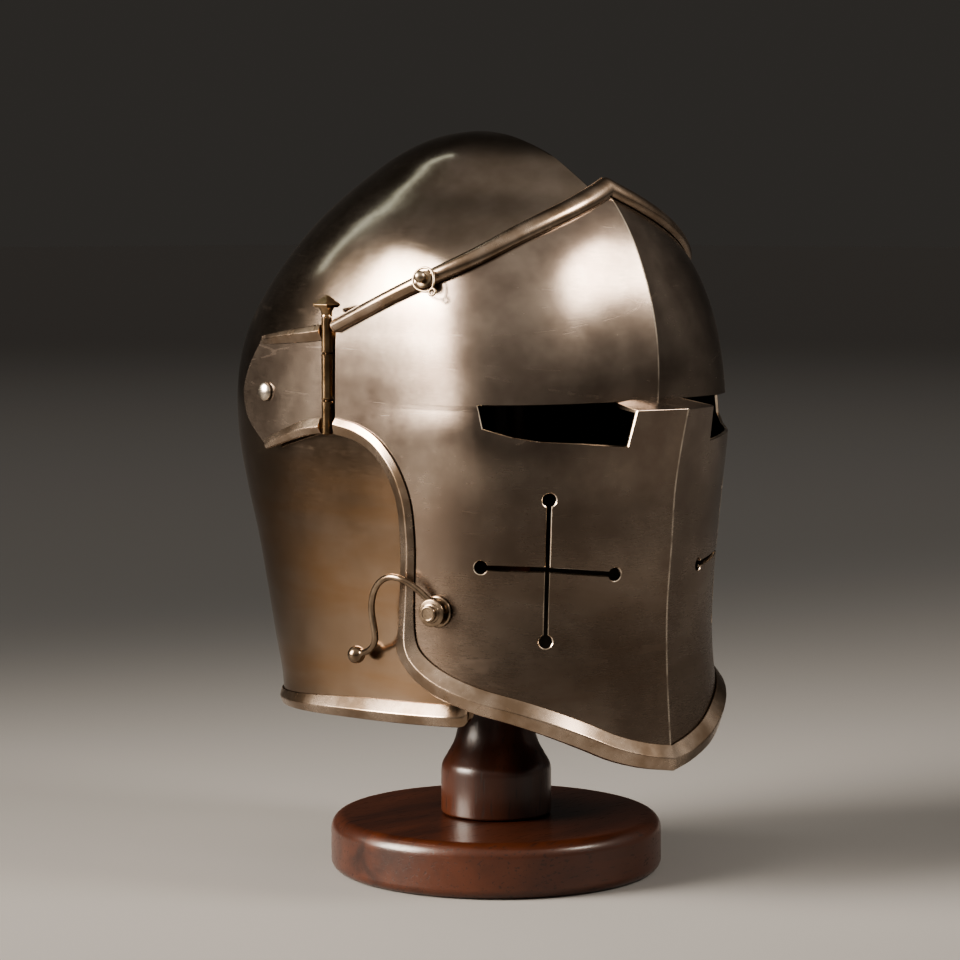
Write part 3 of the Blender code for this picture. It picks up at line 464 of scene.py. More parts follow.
def brushed_sheet(name, pale, dark, stain_and_reflection_tone, stain_and_reflection_heights, keel, rough):
    """Satin-brushed steel: fine strokes, hairline scratches, hazy patches, and brown staining that
    is partly a painted reflection of a warm glow. A height range, given after its colour, is where
    this fades out upwards.
    keel is how strongly a painted highlight, partly wear, lightens the edge of the front keel."""
    steel = Finish(name, Metallic=1.0)
    strokes = steel.noise(1300, 3, 0.7, stretch=(0.12, 0.12, 1.0), turn=(0.35, -0.2, 0))
    cross = steel.noise(1000, 3, 0.7, stretch=(0.2, 0.2, 1.0), turn=(-0.5, 0.4, 0.3))
    haze = steel.noise(26, 4, 0.6)
    cloud = steel.noise(12, 4, 0.6, stretch=(0.6, 0.6, 2.6), distort=0.4)
    hairs = steel.hairlines(38, (0.45, -0.5, 0.3)) + steel.hairlines(30, (-0.7, 0.5, -0.2))
    # Brown staining, partly a painted reflection of a warm glow: cloudy patches that fade out
    # upwards.
    low = steel.between(steel.part("Z"), stain_and_reflection_heights[0], stain_and_reflection_heights[1], 1.0, 0.0)
    stain_and_reflection = steel.between(cloud, 0.38, 0.70, 0.45, 0.95) * low
    tone = steel.blend(steel.between(haze, 0.30, 0.72), dark, pale)
    tone = steel.blend(stain_and_reflection, tone, stain_and_reflection_tone)
    tone = steel.blend(strokes * 0.15, tone, dark)
    # Painted highlight, partly wear: the base colour is lightened along the front keel's edge to
    # stand for its bright reflection.
    front = steel.between(steel.part("Y"), -0.055, -0.075, 0.0, 1.0)
    edge = steel.between(steel.size_of(steel.part("X")), 0.0002, 0.0008, 1.0, 0.0)
    keel_highlight = edge * front * steel.between(steel.noise(120, 2, 0.5), 0.30, 0.55, 0.4, 1.0)
    tone = steel.blend(keel_highlight * keel, tone, (0.85, 0.75, 0.63))
    roughness = rough + 0.09 * (haze - 0.5) + 0.08 * (strokes - 0.5) + 0.05 * stain_and_reflection + 0.04 * hairs
    relief = strokes * 0.5 + cross * 0.4 - hairs * 0.12
    steel.feeds(Base_Color=tone, Roughness=roughness, Normal=steel.bump(relief, 0.00002, 0.6))
    return steel.material


def scale_and_painted_shade():
    """The unpolished inside: near-black scale with hammer texture, dark enough to be painted shade
    in the openings.
    """
    scale = Finish("inside_scale_and_painted_shade", Metallic=0.6)
    patches = scale.noise(60, 4, 0.6)
    share = scale.between(patches, 0.35, 0.70)
    scale.feeds(Base_Color=scale.blend(share, (0.018, 0.015, 0.013), (0.055, 0.042, 0.032)),
                Roughness=0.50 + 0.25 * patches, Normal=scale.bump(patches, 0.0004, 0.5))
    return scale.material


bowl_steel = brushed_sheet("bowl_steel", (0.36, 0.30, 0.25), (0.25, 0.20, 0.155),
                           (0.24, 0.14, 0.072), (0.19, 0.24), keel=0.0, rough=0.16)
painted_shade_inside = scale_and_painted_shade()


def blacken_inside(piece, centre=Vector((0, 0.02, 0.20))):
    """Give the faces that look into the helmet the near-black inside finish, painted shade for the
    openings.
    """
    piece.data.materials.append(painted_shade_inside)
    for face in piece.data.polygons:
        if face.normal.dot((Vector(face.center) - centre).normalized()) < -0.45:
            face.material_index = 1


def dress(piece, material, body, node):
    """Material, body and CAD node of a finished piece."""
    piece.data.materials.clear()
    piece.data.materials.append(material)
    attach(piece, body)
    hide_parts(node)


bowl_shell = bowl()
dress(bowl_shell, bowl_steel, "helmet_and_stand", "skull")
blacken_inside(bowl_shell)


# ======== bowl edging ====================================================================
# A two-faced strip of brighter steel, folded over the bowl's lower edge all the way round
# the neck. It ends in a rounded tongue on each cheek.
AIR = 0.45
UNDER = [(LIP, AIR), (LIP, -SHEET)]


def two_faced(edge, ridge, height, width, inner):
    """Section of a strip folded over the sheet, as (in from the edge, lift off the sheet):
    its outer edge, the ridge between its faces, and its inner edge."""
    return [(0, -SHEET), (0, edge), (ridge, height), (width, inner), (width, AIR)] + UNDER


SKULL_RIM = two_faced(edge=1.4, ridge=4.8, height=4.6, width=10.6, inner=0.9)
NAPE_RIM = two_faced(0.8, 3.4, 1.9, 7.2, 0.8)
CHEEK_END = two_faced(0.6, 4.6, 1.1, 10.2, 0.7)
STRIP_CORNERS = (0, 0.6, 0.7, 0.5, 0, 0, 0)
TONGUE = 5.0


def ease(value, low, high):
    """0 below low, 1 above high, smooth between."""
    t = np.clip((np.asarray(value, float) - low) / (high - low), 0.0, 1.0)
    return t * t * (3 - 2 * t)


def between(first, second, share):
    return np.array(first) * (1 - share) + np.array(second) * share


def rounded(profile, sizes):
    """Round the corners of a closed profile; sizes gives how far each is cut back."""
    profile = np.asarray(profile, float)
    line = []
    for k, corner in enumerate(profile):
        before = profile[k - 1] - corner
        after = profile[(k + 1) % len(profile)] - corner
        size = min(sizes[k], 0.45 * np.linalg.norm(before), 0.45 * np.linalg.norm(after))
        first = corner + unit(before) * size
        last = corner + unit(after) * size
        for t in (0.0, 0.35, 0.65, 1.0) if size else (0.0,):
            line.append((1 - t) ** 2 * first + 2 * t * (1 - t) * corner + t * t * last)
    return np.array(line)


def smooth_path(points, step):
    """A smooth curve through the points, sampled about every step."""
    points = np.asarray(points, float)
    spans = np.linalg.norm(np.diff(points, axis=0), axis=1)
    stops = np.concatenate([[0.0], np.cumsum(spans)])
    samples = np.linspace(0.0, stops[-1], max(int(round(stops[-1] / step)), 2) + 1)
    return np.stack([smooth_value(samples, stops, column) for column in points.T], axis=1)


def gridded(name, spots):
    """A grid primitive whose corners are moved to the given rows of points, in metres."""
    nothing_selected()
    rows, columns = spots.shape[:2]
    bpy.ops.mesh.primitive_grid_add(x_subdivisions=columns - 1, y_subdivisions=rows - 1, size=2)
    grid = made(name)
    flat = corners(grid)
    i = np.round((flat[:, 0] + 1) / 2 * (columns - 1)).astype(int)
    j = np.round((flat[:, 1] + 1) / 2 * (rows - 1)).astype(int)
    set_corners(grid, spots[j, i])
    return grid


def edging(name, path, inward, profiles, raised, soften=None):
    """Carry a changing profile (inwards, lift) along an edge and raise it with the sheet.
    inward is +1 when the sheet lies to the left of the path. soften says, for each stop,
    how far the inner edge is evened out where it goes round a tight bend."""
    path = np.asarray(path, float)
    runs = unit(np.diff(path, axis=0))
    before = np.vstack([runs[:1], runs])
    after = np.vstack([runs, runs[-1:]])
    run = unit(before + after)
    mitre = 1 / np.sqrt((1 + np.sum(before * after, axis=1)) / 2)
    side = np.stack([-run[:, 1], run[:, 0]], axis=1) * (inward * mitre)[:, None]
    profiles = np.asarray(profiles)
    flat = path[:, None, :] + side[:, None, :] * profiles[:, :, :1]
    if soften is not None:
        share = soften[1:-1, None, None] * np.clip(profiles[1:-1, :, :1] / 6, 0, 1) * 0.5
        for _ in range(40):
            flat[1:-1] += share * ((flat[:-2] + flat[2:]) / 2 - flat[1:-1])
    spots = raised(flat[..., 0], flat[..., 1], profiles[..., 1]) * MM
    strip = gridded(name, np.concatenate([spots, spots[:, :1]], axis=1))
    cleaned(strip, 0.000005, sides=0)
    finish_edges(strip)
    return strip


def finish_edges(piece, angle=38.0):
    """Keep facets flat and corners crisp."""
    smooth_to(piece, angle)
    apply_modifier(piece, "WEIGHTED_NORMAL", keep_sharp=True, weight=80)


def hem(y):
    return HEM_HEIGHT - HEM_SLOPE * y


def bowl_edging():
    fine = np.linspace(0, 1, 400)
    level = skull_form.point(fine * SKULL_GIRTH, HEM_HEIGHT)
    start = fine[np.searchsorted(level[:, 1], CHEEK_EDGE)]
    ends = np.array([0, 0.4, 1.0, 1.9, 3.2, 5.0, 7.5, 10.0])
    shares = np.concatenate([start + ends / SKULL_GIRTH,
                             np.linspace(start + 12.5 / SKULL_GIRTH, 1, 120)])
    y = np.interp(shares, fine, level[:, 1])
    left = np.clip(1 - ends / TONGUE, 0, 1)
    rise = TONGUE * (1 - np.sqrt(1 - left ** 2))
    path = np.stack([shares * SKULL_GIRTH, hem(y)], axis=1)
    profiles = [between(SKULL_RIM, NAPE_RIM, ease(value, -10, 90)) for value in y]
    for k, end in enumerate(ends):
        profiles[k] = between(profiles[k], CHEEK_END, 1 - ease(end, 1, 9))
        profiles[k][:, 0] = rise[k] + profiles[k][:, 0] * (1 - rise[k] / SKULL_RIM[3][0])
    back = path[-2::-1].copy()
    back[:, 0] = 2 * SKULL_GIRTH - back[:, 0]
    path = np.vstack([path, back])
    profiles = [rounded(profile, STRIP_CORNERS) for profile in profiles]
    profiles += profiles[-2::-1]

    def raised(across, z, lift):
        past = across > SKULL_GIRTH
        place = skull_form.raised(np.where(past, 2 * SKULL_GIRTH - across, across), z, lift)
        place[..., 0] *= np.where(past, -1, 1)
        return place

    return edging("bowl_edging", path, 1, profiles, raised)


def burnished(name, pale, dark, rough=0.24, scale=2.0):
    """Brighter metal of edgings and fittings, with darkening in patches."""
    steel = Finish(name, Metallic=1.0)
    grain = steel.noise(900 * scale, 3, 0.65)
    haze = steel.noise(45 * scale, 4, 0.6)
    spots = steel.between(steel.noise(160 * scale, 4, 0.6), 0.60, 0.74)
    tone = steel.blend(steel.between(haze, 0.32, 0.70), dark, pale)
    tone = steel.blend(spots * 0.4, tone, dark)
    roughness = rough + 0.10 * (haze - 0.5) + 0.05 * (grain - 0.5) + 0.06 * spots
    steel.feeds(Base_Color=tone, Roughness=roughness, Normal=steel.bump(grain, 0.00001, 0.12))
    return steel.material


edge_steel = burnished("edge_steel", (0.44, 0.355, 0.285), (0.25, 0.18, 0.125), 0.26, 1.0)
dress(bowl_edging(), edge_steel, "helmet_and_stand", "skull_rim")


# ======== visor plate ====================================================================
# One sheet, keeled down the middle and stepped out below the sights, so that the face
# plate's top makes a narrow shelf under the brow. Each side has a sight and a pierced cross.
VisorRow = namedtuple("VisorRow", "z half mid front full keel keel_width")
BROW_ROWS = [VisorRow(*row) for row in (
    # z, half, mid, front, full, keel, keel_width
    (348,   46, 10,    -66, 2.1,   5, 60),
    (338,   57, 10,  -73.5, 2.2, 5.5, 65),
    (330,   66, 10,  -80.4, 2.4,   6, 68),
    (316,   79, 10,  -89.8, 2.7,   7, 72),
    (303,   87, 10,    -96,   3,   8, 76),
    (288,   92, 10, -101.5, 3.2, 8.5, 78),
    (270,   94, 10, -105.6, 3.5,   9, 80),
    (252, 94.5, 10,   -107, 3.8,   9, 80),
    (238, 94.5, 10, -106.6, 4.1,   9, 80),
)]
FACE_ROWS = [VisorRow(*row) for row in (
    # z, half, mid, front, full, keel, keel_width
    (236, 94.5, 10, -125.7,  2.6,  10, 80),
    (219, 94.5, 10, -121.7, 2.85,  10, 80),
    (200,   94, 10,   -118, 2.95,  10, 80),
    (170, 93.5, 10, -115.5, 2.85,  10, 80),
    (140,   93, 10,   -113,  2.8,  10, 80),
    (110,   93, 10, -113.2,  2.8, 9.5, 80),
    ( 88,   94, 10, -114.6,  2.9, 8.5, 78),
    ( 70,   96, 10,   -116, 3.05, 6.5, 70),
    ( 58,   98, 10,   -117,  3.1, 4.5, 62),
)]
NOSE_TOP = 236.0
BROW_EDGE = 238.0
REAR_Y = 16.5
GIRTH = 180.0
TOP_EDGE = [(0, 344), (32, 335), (70, 322.5), (103, 307.5), (137, 294), (180, 277)]
EAR_EDGE = [(180, 221.5), (166, 219), (155, 214), (147, 206), (140.5, 192), (138, 176),
            (138, 150), (139, 131), (140, 121), (133, 111), (122, 103), (110, 98),
            (98, 94), (82, 90), (67, 85), (51, 78.5), (34, 71), (16, 65.7), (0, 62.8)]
SIGHT = [(29, 219), (52, 221), (70, 222), (82, 224), (92, 228), (94, 238.6), (24, 238.6),
         (27, 236)]
BREATH_CENTRE = (64.3, 162)
BREATH_ENDS = [(95.3, 162.8), (64.4, 194.7), (30.6, 158.5), (64.4, 128)]
BREATH_HOLE = 3.2
BREATH_SLIT = 2.0
CHAMFER = 0.4
CUT_OVER = 0.3


def visor_section(rows, z, shares):
    columns = list(zip(*rows))
    stops = columns[0][::-1]
    row = [float(smooth_value(z, stops, column[::-1])) for column in columns[1:]]
    x, y = front_quarter(*row, count=200)
    return along(np.append(x, x[-1]), np.append(y, REAR_Y), shares)


def face_section(z, shares):
    """Beyond the sights the face plate runs into the brow plate as one surface."""
    section = visor_section(FACE_ROWS, z, shares)
    step = visor_section(BROW_ROWS, BROW_EDGE, shares) - visor_section(FACE_ROWS, NOSE_TOP, shares)
    merged = ease(shares * GIRTH, 78, 96) * ease(z, 190, NOSE_TOP)
    return section + merged[:, None] * step


brow_form = Form(lambda z, shares: visor_section(BROW_ROWS, z, shares),
                 np.arange(349, 236, -1), GIRTH)
face_form = Form(face_section, np.arange(237.0, 54, -1), GIRTH)


SHELF_ROUND = 0.7
ARCH_RISE = 1.7
BRIDGE = 29.0


def brow_height(across, z):
    """The brow's lower edge rises in a low arch on each side of the keel."""
    arch = np.sin(math.pi * np.clip((np.abs(across) - 2) / 23, 0, 1))
    return np.maximum(z, BROW_EDGE) + ARCH_RISE * arch * (1 - ease(z, BROW_EDGE, 250))


def visor_raised(across, z, lift):
    """Take the flat pattern, with its lift off the face, to the raised visor. Between the
    heights of the nose's top and the brow's edge it is the shelf that joins them."""
    across, z, lift = np.broadcast_arrays(np.asarray(across, float), z, lift)
    bridge = (np.abs(across) < BRIDGE) & (z <= BROW_EDGE)
    into_round = np.clip(z - (NOSE_TOP - SHELF_ROUND), 0, SHELF_ROUND)
    drop = SHELF_ROUND - np.sqrt(SHELF_ROUND ** 2 - into_round ** 2)
    face_lift = lift - np.where(bridge & (lift > -SHEET / 2), drop, 0)
    face = face_form.raised(across, np.minimum(z, NOSE_TOP), face_lift)
    brow = brow_form.raised(across, brow_height(across, z), lift)
    place = face + (brow - face) * np.clip((z - NOSE_TOP) / (BROW_EDGE - NOSE_TOP), 0, 1)[..., None]
    place[..., 2] += np.where(bridge & (z >= NOSE_TOP) & (lift < 0), lift, 0)
    place[..., 1] += np.clip(np.abs(across) - GIRTH, 0, None)
    return place


def visor_normal(across, z):
    across, z = np.broadcast_arrays(np.asarray(across, float), z)
    normal = np.where((z >= BROW_EDGE)[..., None], brow_form.normal(across, brow_height(across, z)),
                      face_form.normal(across, np.minimum(z, NOSE_TOP)))
    run = visor_raised(across + 0.4, z, 0.0) - visor_raised(across - 0.4, z, 0.0)
    rise = visor_raised(across, z + 0.03, 0.0) - visor_raised(across, z - 0.03, 0.0)
    shelf = (np.abs(across) < BRIDGE) & (z > NOSE_TOP - SHELF_ROUND) & (z < BROW_EDGE)
    return np.where(shelf[..., None], unit(np.cross(run, rise)), normal)


def sheet_edge(points):
    """The sheet stops short of its strip's edge, to the right of a smooth path."""
    points = smooth_path(points, 3)
    runs = unit(np.gradient(points, axis=0))
    return points + np.stack([runs[:, 1], -runs[:, 0]], axis=1) * (GAP + LIP)


def heading(angle):
    return np.array([math.cos(angle), math.sin(angle)])


def breath_outline():
    """A cross of four slits, each ending in a round hole."""
    centre = np.array(BREATH_CENTRE)
    arms = [np.array(end) - centre for end in BREATH_ENDS]
    turns = [math.atan2(arm[1], arm[0]) % math.tau for arm in arms]
    spread = math.asin(BREATH_SLIT / 2 / BREATH_HOLE)
    outline = []
    for k in range(4):
        for angle in np.linspace(-math.pi + spread, math.pi - spread, 29):
            outline.append(BREATH_ENDS[k] + BREATH_HOLE * heading(turns[k] + angle))
        gap = (turns[(k + 1) % 4] - turns[k]) % math.tau
        outline.append(centre + BREATH_SLIT / 2 / math.sin(gap / 2) * heading(turns[k] + gap / 2))
    return outline


def blank_sheet(name, columns, rows):
    """A flat sheet in X and Z whose outer face is y = 0, gridded where it will bend."""
    across, up = np.meshgrid(np.asarray(columns, float), np.asarray(rows, float))
    sheet = gridded(name, np.stack([across, np.zeros(across.shape), up], axis=2) * MM)
    apply_modifier(sheet, "SOLIDIFY", thickness=SHEET * MM, offset=-1)
    return sheet


def raise_sheet(sheet, raised, normal):
    """Bend the cut flat sheet to its form, shaded by the form. Finishes go outside 0,
    inside 1 and cut edges 2."""
    for face in sheet.data.polygons:
        face.material_index = 0 if face.normal.y < -0.9 else 1 if face.normal.y > 0.9 else 2
    flat = corners(sheet) / MM
    set_corners(sheet, raised(flat[:, 0], flat[:, 2], -flat[:, 1]) * MM)
    shaded_by_form(sheet, normal(flat[:, 0], flat[:, 2]))


def visor_plate():
    steps = [0.8, 2.0, *np.arange(4.0, 184.1, 2.5)]
    columns = [-c for c in reversed(steps)] + [0] + steps
    shelf_rows = [234.6, 235.3, 235.55, 235.75, 235.9, 236, 236.02, 236.3, 236.8, 237.4, 238, 238.6]
    rows = [*np.arange(56, 234, 2.5), *shelf_rows, *np.arange(240, 348, 2.5)]
    plate = blank_sheet("visor_plate", columns, rows)
    top = sheet_edge(TOP_EDGE)
    low = sheet_edge(EAR_EDGE)
    top[0][0] = 0
    low[-1][0] = 0
    half = np.vstack([top, low])
    outline = np.vstack([half, half[-2:0:-1] * (-1, 1)])
    cut_with(plate, outline_block("visor_pattern", outline, -8, 8), "INTERSECT")
    for flip in (1, -1):
        for shape in (np.array(SIGHT, float), np.array(breath_outline())):
            wide = let_out(shape * (flip, 1), CHAMFER + CUT_OVER)
            cut_with(plate, outline_block("cut", wide, -1, 8, (-CUT_OVER, CHAMFER)))
    cleaned(plate, outwards=False)
    raise_sheet(plate, visor_raised, visor_normal)
    return plate


visor_steel = brushed_sheet("visor_steel", (0.36, 0.30, 0.25), (0.21, 0.165, 0.135),
                            (0.17, 0.12, 0.085), (0.09, 0.25), keel=0.8, rough=0.25)
# Cut edges are pale, partly bare filed steel and partly a painted highlight that draws them as thin
# bright lines.
filed_edge_and_highlight = burnished("filed_edge_and_highlight", (0.78, 0.68, 0.56), (0.45, 0.36, 0.28), scale=1.0)


def dress_sheet(piece, node):
    """A raised sheet: polished outside, near-black inside as painted shade, and pale on its filed
    edges as partly a painted highlight.
    """
    finishes = [face.material_index for face in piece.data.polygons]
    dress(piece, visor_steel, "visor", node)
    piece.data.materials.append(painted_shade_inside)
    piece.data.materials.append(filed_edge_and_highlight)
    for face, finish in zip(piece.data.polygons, finishes):
        face.material_index = finish


dress_sheet(visor_plate(), "visor")


# ======== visor edgings ==================================================================
# A round-topped bar follows the brow's upper edge. A two-faced strip, folded like the
# bowl's, follows the ear cut and the chin to a point at the keel.
LOWER_RIM = two_faced(1.4, 5.6, 4.6, 12.0, 1.0)
CHIN_RIM = two_faced(1.2, 5.6, 2.8, 12.0, 0.9)
EAR_RIM = two_faced(0.9, 5.0, 2.5, 8.2, 0.9)


def half_round(width, height):
    """A round bar over a thin folded lip."""
    start = 0.7
    reach = (width - start) / 2
    arc = [(start + reach - reach * math.cos(a), 0.9 + (height - 0.9) * math.sin(a))
           for a in np.linspace(0, math.pi, 13)]
    return [(0, -SHEET), (0, 1.0), (0.2, 1.3), (0.5, 1.3)] + arc + [(width, AIR)] + UNDER


def brow_edging():
    path = smooth_path(TOP_EDGE, 2.5)
    path = np.vstack([path[::-1] * (-1, 1), path[1:]])
    profiles = [between(half_round(8.8, 5.0), half_round(7.2, 4.8), ease(abs(across), 60, 150))
                for across, z in path]
    return edging("brow_edging", path, -1, profiles, visor_raised)


def visor_edging():
    path = smooth_path(EAR_EDGE, 2.2)
    path = np.vstack([path * (-1, 1), path[-2::-1]])
    profiles = []
    for across, z in path:
        chin = between(CHIN_RIM, LOWER_RIM, ease(abs(across), 0, 12))
        profiles.append(rounded(between(chin, EAR_RIM, ease(z, 108, 145)), STRIP_CORNERS))
    at_bend = ease(path[:, 1], 88, 100) * (1 - ease(path[:, 1], 150, 165))
    return edging("visor_edging", path, 1, profiles, visor_raised, soften=at_bend)


dress(brow_edging(), edge_steel, "visor", "visor_top_rim")
dress(visor_edging(), edge_steel, "visor", "visor_lower_rim")


# ======== arms ===========================================================================
# A plate arm on each temple carries the visor from the hinge back to the pivot. Its upper
# and lower edges have low two-faced strips like the visor's.
ARM_FACE = 95.0
ARM_START_Y = 26.0
ARM_BEND_RADIUS = 330.0
ARM_TOP = [(24.4, 274.2), (49, 271), (71, 267.5)]
ARM_TAIL = [(71, 267.5), (86, 248), (89, 240), (87, 230), (68, 212)]
ARM_FOOT = [(68, 212), (49, 217), (34, 220.5), (24.4, 221.6)]
ARM_RIM = two_faced(1.2, 3.2, 3.4, 7.6, 0.9)
TAIL_RIM = two_faced(0.9, 2.1, 2.2, 5.0, 0.8)
TAIL_END = two_faced(0.6, 1.8, 0.9, 4.2, 0.6)


def arm_normal(y, z):
    past = np.clip(np.asarray(y, float) - ARM_START_Y, 0, None)
    flat = np.zeros(past.shape)
    return unit(np.stack([flat - 1, past / ARM_BEND_RADIUS, flat], axis=-1))


def arm_raised(y, z, lift):
    y, z, lift = np.broadcast_arrays(np.asarray(y, float), z, lift)
    past = np.clip(y - ARM_START_Y, 0, None)
    place = np.stack([-(ARM_FACE - past * past / ARM_BEND_RADIUS / 2), y, z], axis=-1)
    return place + arm_normal(y, z) * lift[..., None]


def mirrored(right):
    """The other side's copy, with a mesh of its own."""
    twin = right.copy()
    twin.data = right.data.copy()
    twin.name = twin.data.name = right.name.replace("right", "left")
    bpy.context.scene.collection.objects.link(twin)
    twin.data.transform(Matrix.Scale(-1, 4, (1, 0, 0)))
    twin.data.flip_normals()
    return twin


def arm_plate():
    outline = np.vstack([sheet_edge(ARM_TOP), smooth_path(ARM_TAIL, 2)[1:-1], sheet_edge(ARM_FOOT)])
    plate = blank_sheet("arm_right_plate", np.arange(22, 96, 3.0), [205, 225, 245, 265, 280])
    cut_with(plate, outline_block("arm_pattern", outline, 8, -1, (CHAMFER, -CUT_OVER)), "INTERSECT")
    drilled(plate, (PIVOT[0], 0, PIVOT[1]), (math.pi / 2, 0, 0), 0.02)
    raise_sheet(plate, arm_raised, arm_normal)
    plate.data.flip_normals()
    return plate


def arm_edging(name, path):
    path = smooth_path(path, 2.5)
    profiles = []
    for y, z in path:
        strip = between(ARM_RIM, TAIL_RIM, ease(y, 30, 72))
        profiles.append(rounded(between(strip, TAIL_END, ease(y, 62, 71)), STRIP_CORNERS))
    return edging(name, path, -1, profiles, arm_raised)


def dress_both(right, material, body, node):
    """Dress a right-hand piece and its mirrored copy; {} is the side in the body's name."""
    for piece, side in ((right, "right"), (mirrored(right), "left")):
        dress(piece, material, body.format(side), f"{node}_{side}")


right_arm = arm_plate()
dress_sheet(right_arm, "arm_right")
dress_sheet(mirrored(right_arm), "arm_left")
strips = {"arm_top_rim": arm_edging("arm_top_edging_right", ARM_TOP),
          "arm_lower_rim": arm_edging("arm_lower_edging_right", ARM_FOOT)}
for node, strip in strips.items():
    dress_both(strip, edge_steel, "visor", node)


# ======== hinges =========================================================================
# Three brass knuckles a side, rolled from leaves fixed under the visor and the arm. The pin
# is drawn upwards by its finial, a flared neck under a small four-sided cap.
BARREL_X = 95.0
BARREL_Y = 21.2
BARREL_RADIUS = 2.65
BARREL_BORE = 1.45
KNUCKLES = {"top": (260.6, 277.6), "middle": (237.9, 260.1), "bottom": (221.2, 237.4)}
PIN_RADIUS = 1.15
LEAF = 1.2
LEAF_FACE = 92.6
LEAF_TOP = 272.0
LEAF_REACH = 13.0
CAP_CORNER = 6.9
CAP_TIP = 0.8
CAP_HEIGHT = 4.6
CAP_RISE = 8.4


def turned(name, profile, sizes=None, closed=False, steps=48):
    """Turn a profile of (radius, height) about Z. sizes rounds its corners."""
    line = np.asarray(profile, float)
    if sizes is not None:
        line = rounded(line, sizes)
    if closed:
        line = np.vstack([line, line[:1]])
    piece = drawn_line(name, [(r, 0, z) for r, z in line])
    bpy.ops.mesh.spin(steps=steps, angle=math.tau, center=(0, 0, 0), axis=(0, 0, 1))
    cleaned(piece, 0.000002)
    return piece


def settled(piece, place=Matrix.Identity(4), angle=38.0):
    """Move a turned piece to its place and shade it."""
    piece.data.transform(place)
    finish_edges(piece, angle)
    return piece


def knuckle(label, low, high):
    lip = BARREL_RADIUS + 0.22
    wall = [(BARREL_BORE, high), (BARREL_RADIUS - 0.2, high), (lip, high - 0.25), (lip, high - 0.7),
            (BARREL_RADIUS, high - 0.95), (BARREL_RADIUS, low + 0.95), (lip, low + 0.7),
            (lip, low + 0.25), (BARREL_RADIUS - 0.2, low), (BARREL_BORE, low)]
    if label == "top":
        wall = [wall[0], (BARREL_RADIUS - 0.3, high), (BARREL_RADIUS, high - 0.4)] + wall[5:]
    piece = turned(f"knuckle_{label}_barrel_right", wall, closed=True)
    way = -1 if label == "middle" else 1
    root = BARREL_BORE + 0.4
    top = min(high - 1.4, LEAF_TOP)
    bpy.ops.mesh.primitive_cube_add(size=1)
    leaf = bpy.context.object
    size = Vector((LEAF, LEAF_REACH - root, top - low - 2)) * MM
    centre = Vector((BARREL_X - LEAF_FACE + LEAF / 2, way * (LEAF_REACH + root) / 2,
                     (top + low + 2) / 2)) * MM
    leaf.data.transform(Matrix.Translation(centre) @ Matrix.Diagonal((*size, 1)))
    cut_with(piece, leaf, "UNION")
    return settled(piece, Matrix.Translation((-BARREL_X * MM, BARREL_Y * MM, 0)), 30)


def hinge_pin():
    top = KNUCKLES["top"][1]
    foot = KNUCKLES["bottom"][0]
    neck = [(0, top + 6.2), (4.9, top + 6.1), (4.2, top + 4.9), (3.3, top + 3.6), (2.75, top + 2.3),
            (2.55, top + 1.2), (2.7, top + 0.8), (2.8, top + 0.5), (2.7, top + GAP),
            (PIN_RADIUS, top + GAP), (PIN_RADIUS, foot), (0, foot - 0.6)]
    pin = turned("hinge_pin_right_finial", neck,
                 (0, 0.3, 0.5, 0.5, 0.5, 0.3, 0.1, 0.1, 0.1, 0, 0.2, 0))
    bpy.ops.mesh.primitive_cone_add(vertices=4, radius1=CAP_CORNER * MM, radius2=CAP_TIP * MM,
                                    depth=CAP_HEIGHT * MM, rotation=(0, 0, math.pi / 4))
    cap = bpy.context.object
    bpy.ops.object.transform_apply(rotation=True)
    unpick()
    for face in cap.data.polygons:
        face.select = face.normal.z < -0.9
    mode("EDIT")
    push((0, 0, -1.5))
    bpy.ops.transform.resize(value=(0.82, 0.82, 1))
    mode("OBJECT")
    cap.data.transform(Matrix.Translation((0, 0, (top + CAP_RISE) * MM)))
    apply_modifier(cap, "BEVEL", width=0.35 * MM, segments=3, limit_method="ANGLE")
    cut_with(pin, cap, "UNION")
    return settled(pin, Matrix.Translation((-BARREL_X * MM, BARREL_Y * MM, 0)), 34)


hinge_brass = burnished("hinge_brass", (0.42, 0.30, 0.18), (0.19, 0.125, 0.07), rough=0.22)
for label, (low, high) in KNUCKLES.items():
    dress_both(knuckle(label, low + GAP / 2, high - GAP / 2), hinge_brass, "visor",
               f"knuckle_{label}")
dress_both(hinge_pin(), hinge_brass, "pin_{}", "hinge_pin")


# ======== pivot rivets ===================================================================
# A domed steel rivet through each arm and the bowl, set over a washer inside, which the
# visor turns on.
RIVET_HEAD = 4.5
RIVET_DOME = 1.9
WASHER = 4.0


def facing(point, normal):
    """Place with local Z along the normal; the point is in millimetres."""
    turn = Vector(normal).to_track_quat("Z", "Y").to_matrix().to_4x4()
    return Matrix.Translation(Vector(point) * MM) @ turn


def pivot_rivet():
    y, z = PIVOT
    slope = (y - ARM_START_Y) / ARM_BEND_RADIUS
    seat = -arm_raised(y, z, 0)[0] + (RIVET_HEAD + 0.2) * slope + GAP
    skin = float(np.interp(y, *skull_form.point(np.linspace(80, 240, 400), z)[:, 1::-1].T))
    shank = RIVET_HOLE - GAP
    inside = skin - SHEET - 1.4
    dome = [(RIVET_HEAD * math.sin(a), seat + 0.3 + RIVET_DOME * math.cos(a))
            for a in np.linspace(0, math.pi / 2, 11)]
    shape = dome + [(RIVET_HEAD, seat), (shank, seat), (shank, inside), (WASHER, inside),
                    (WASHER, inside - 0.9), (WASHER - 0.3, inside - 1.2), (0, inside - 1.4)]
    return settled(turned("pivot_rivet_right_head", shape), facing((0, y, z), (-1, 0, 0)), 34)


rivet_steel = burnished("rivet_steel", (0.74, 0.69, 0.62), (0.45, 0.38, 0.30))
dress_both(pivot_rivet(), rivet_steel, "helmet_and_stand", "pivot_rivet")


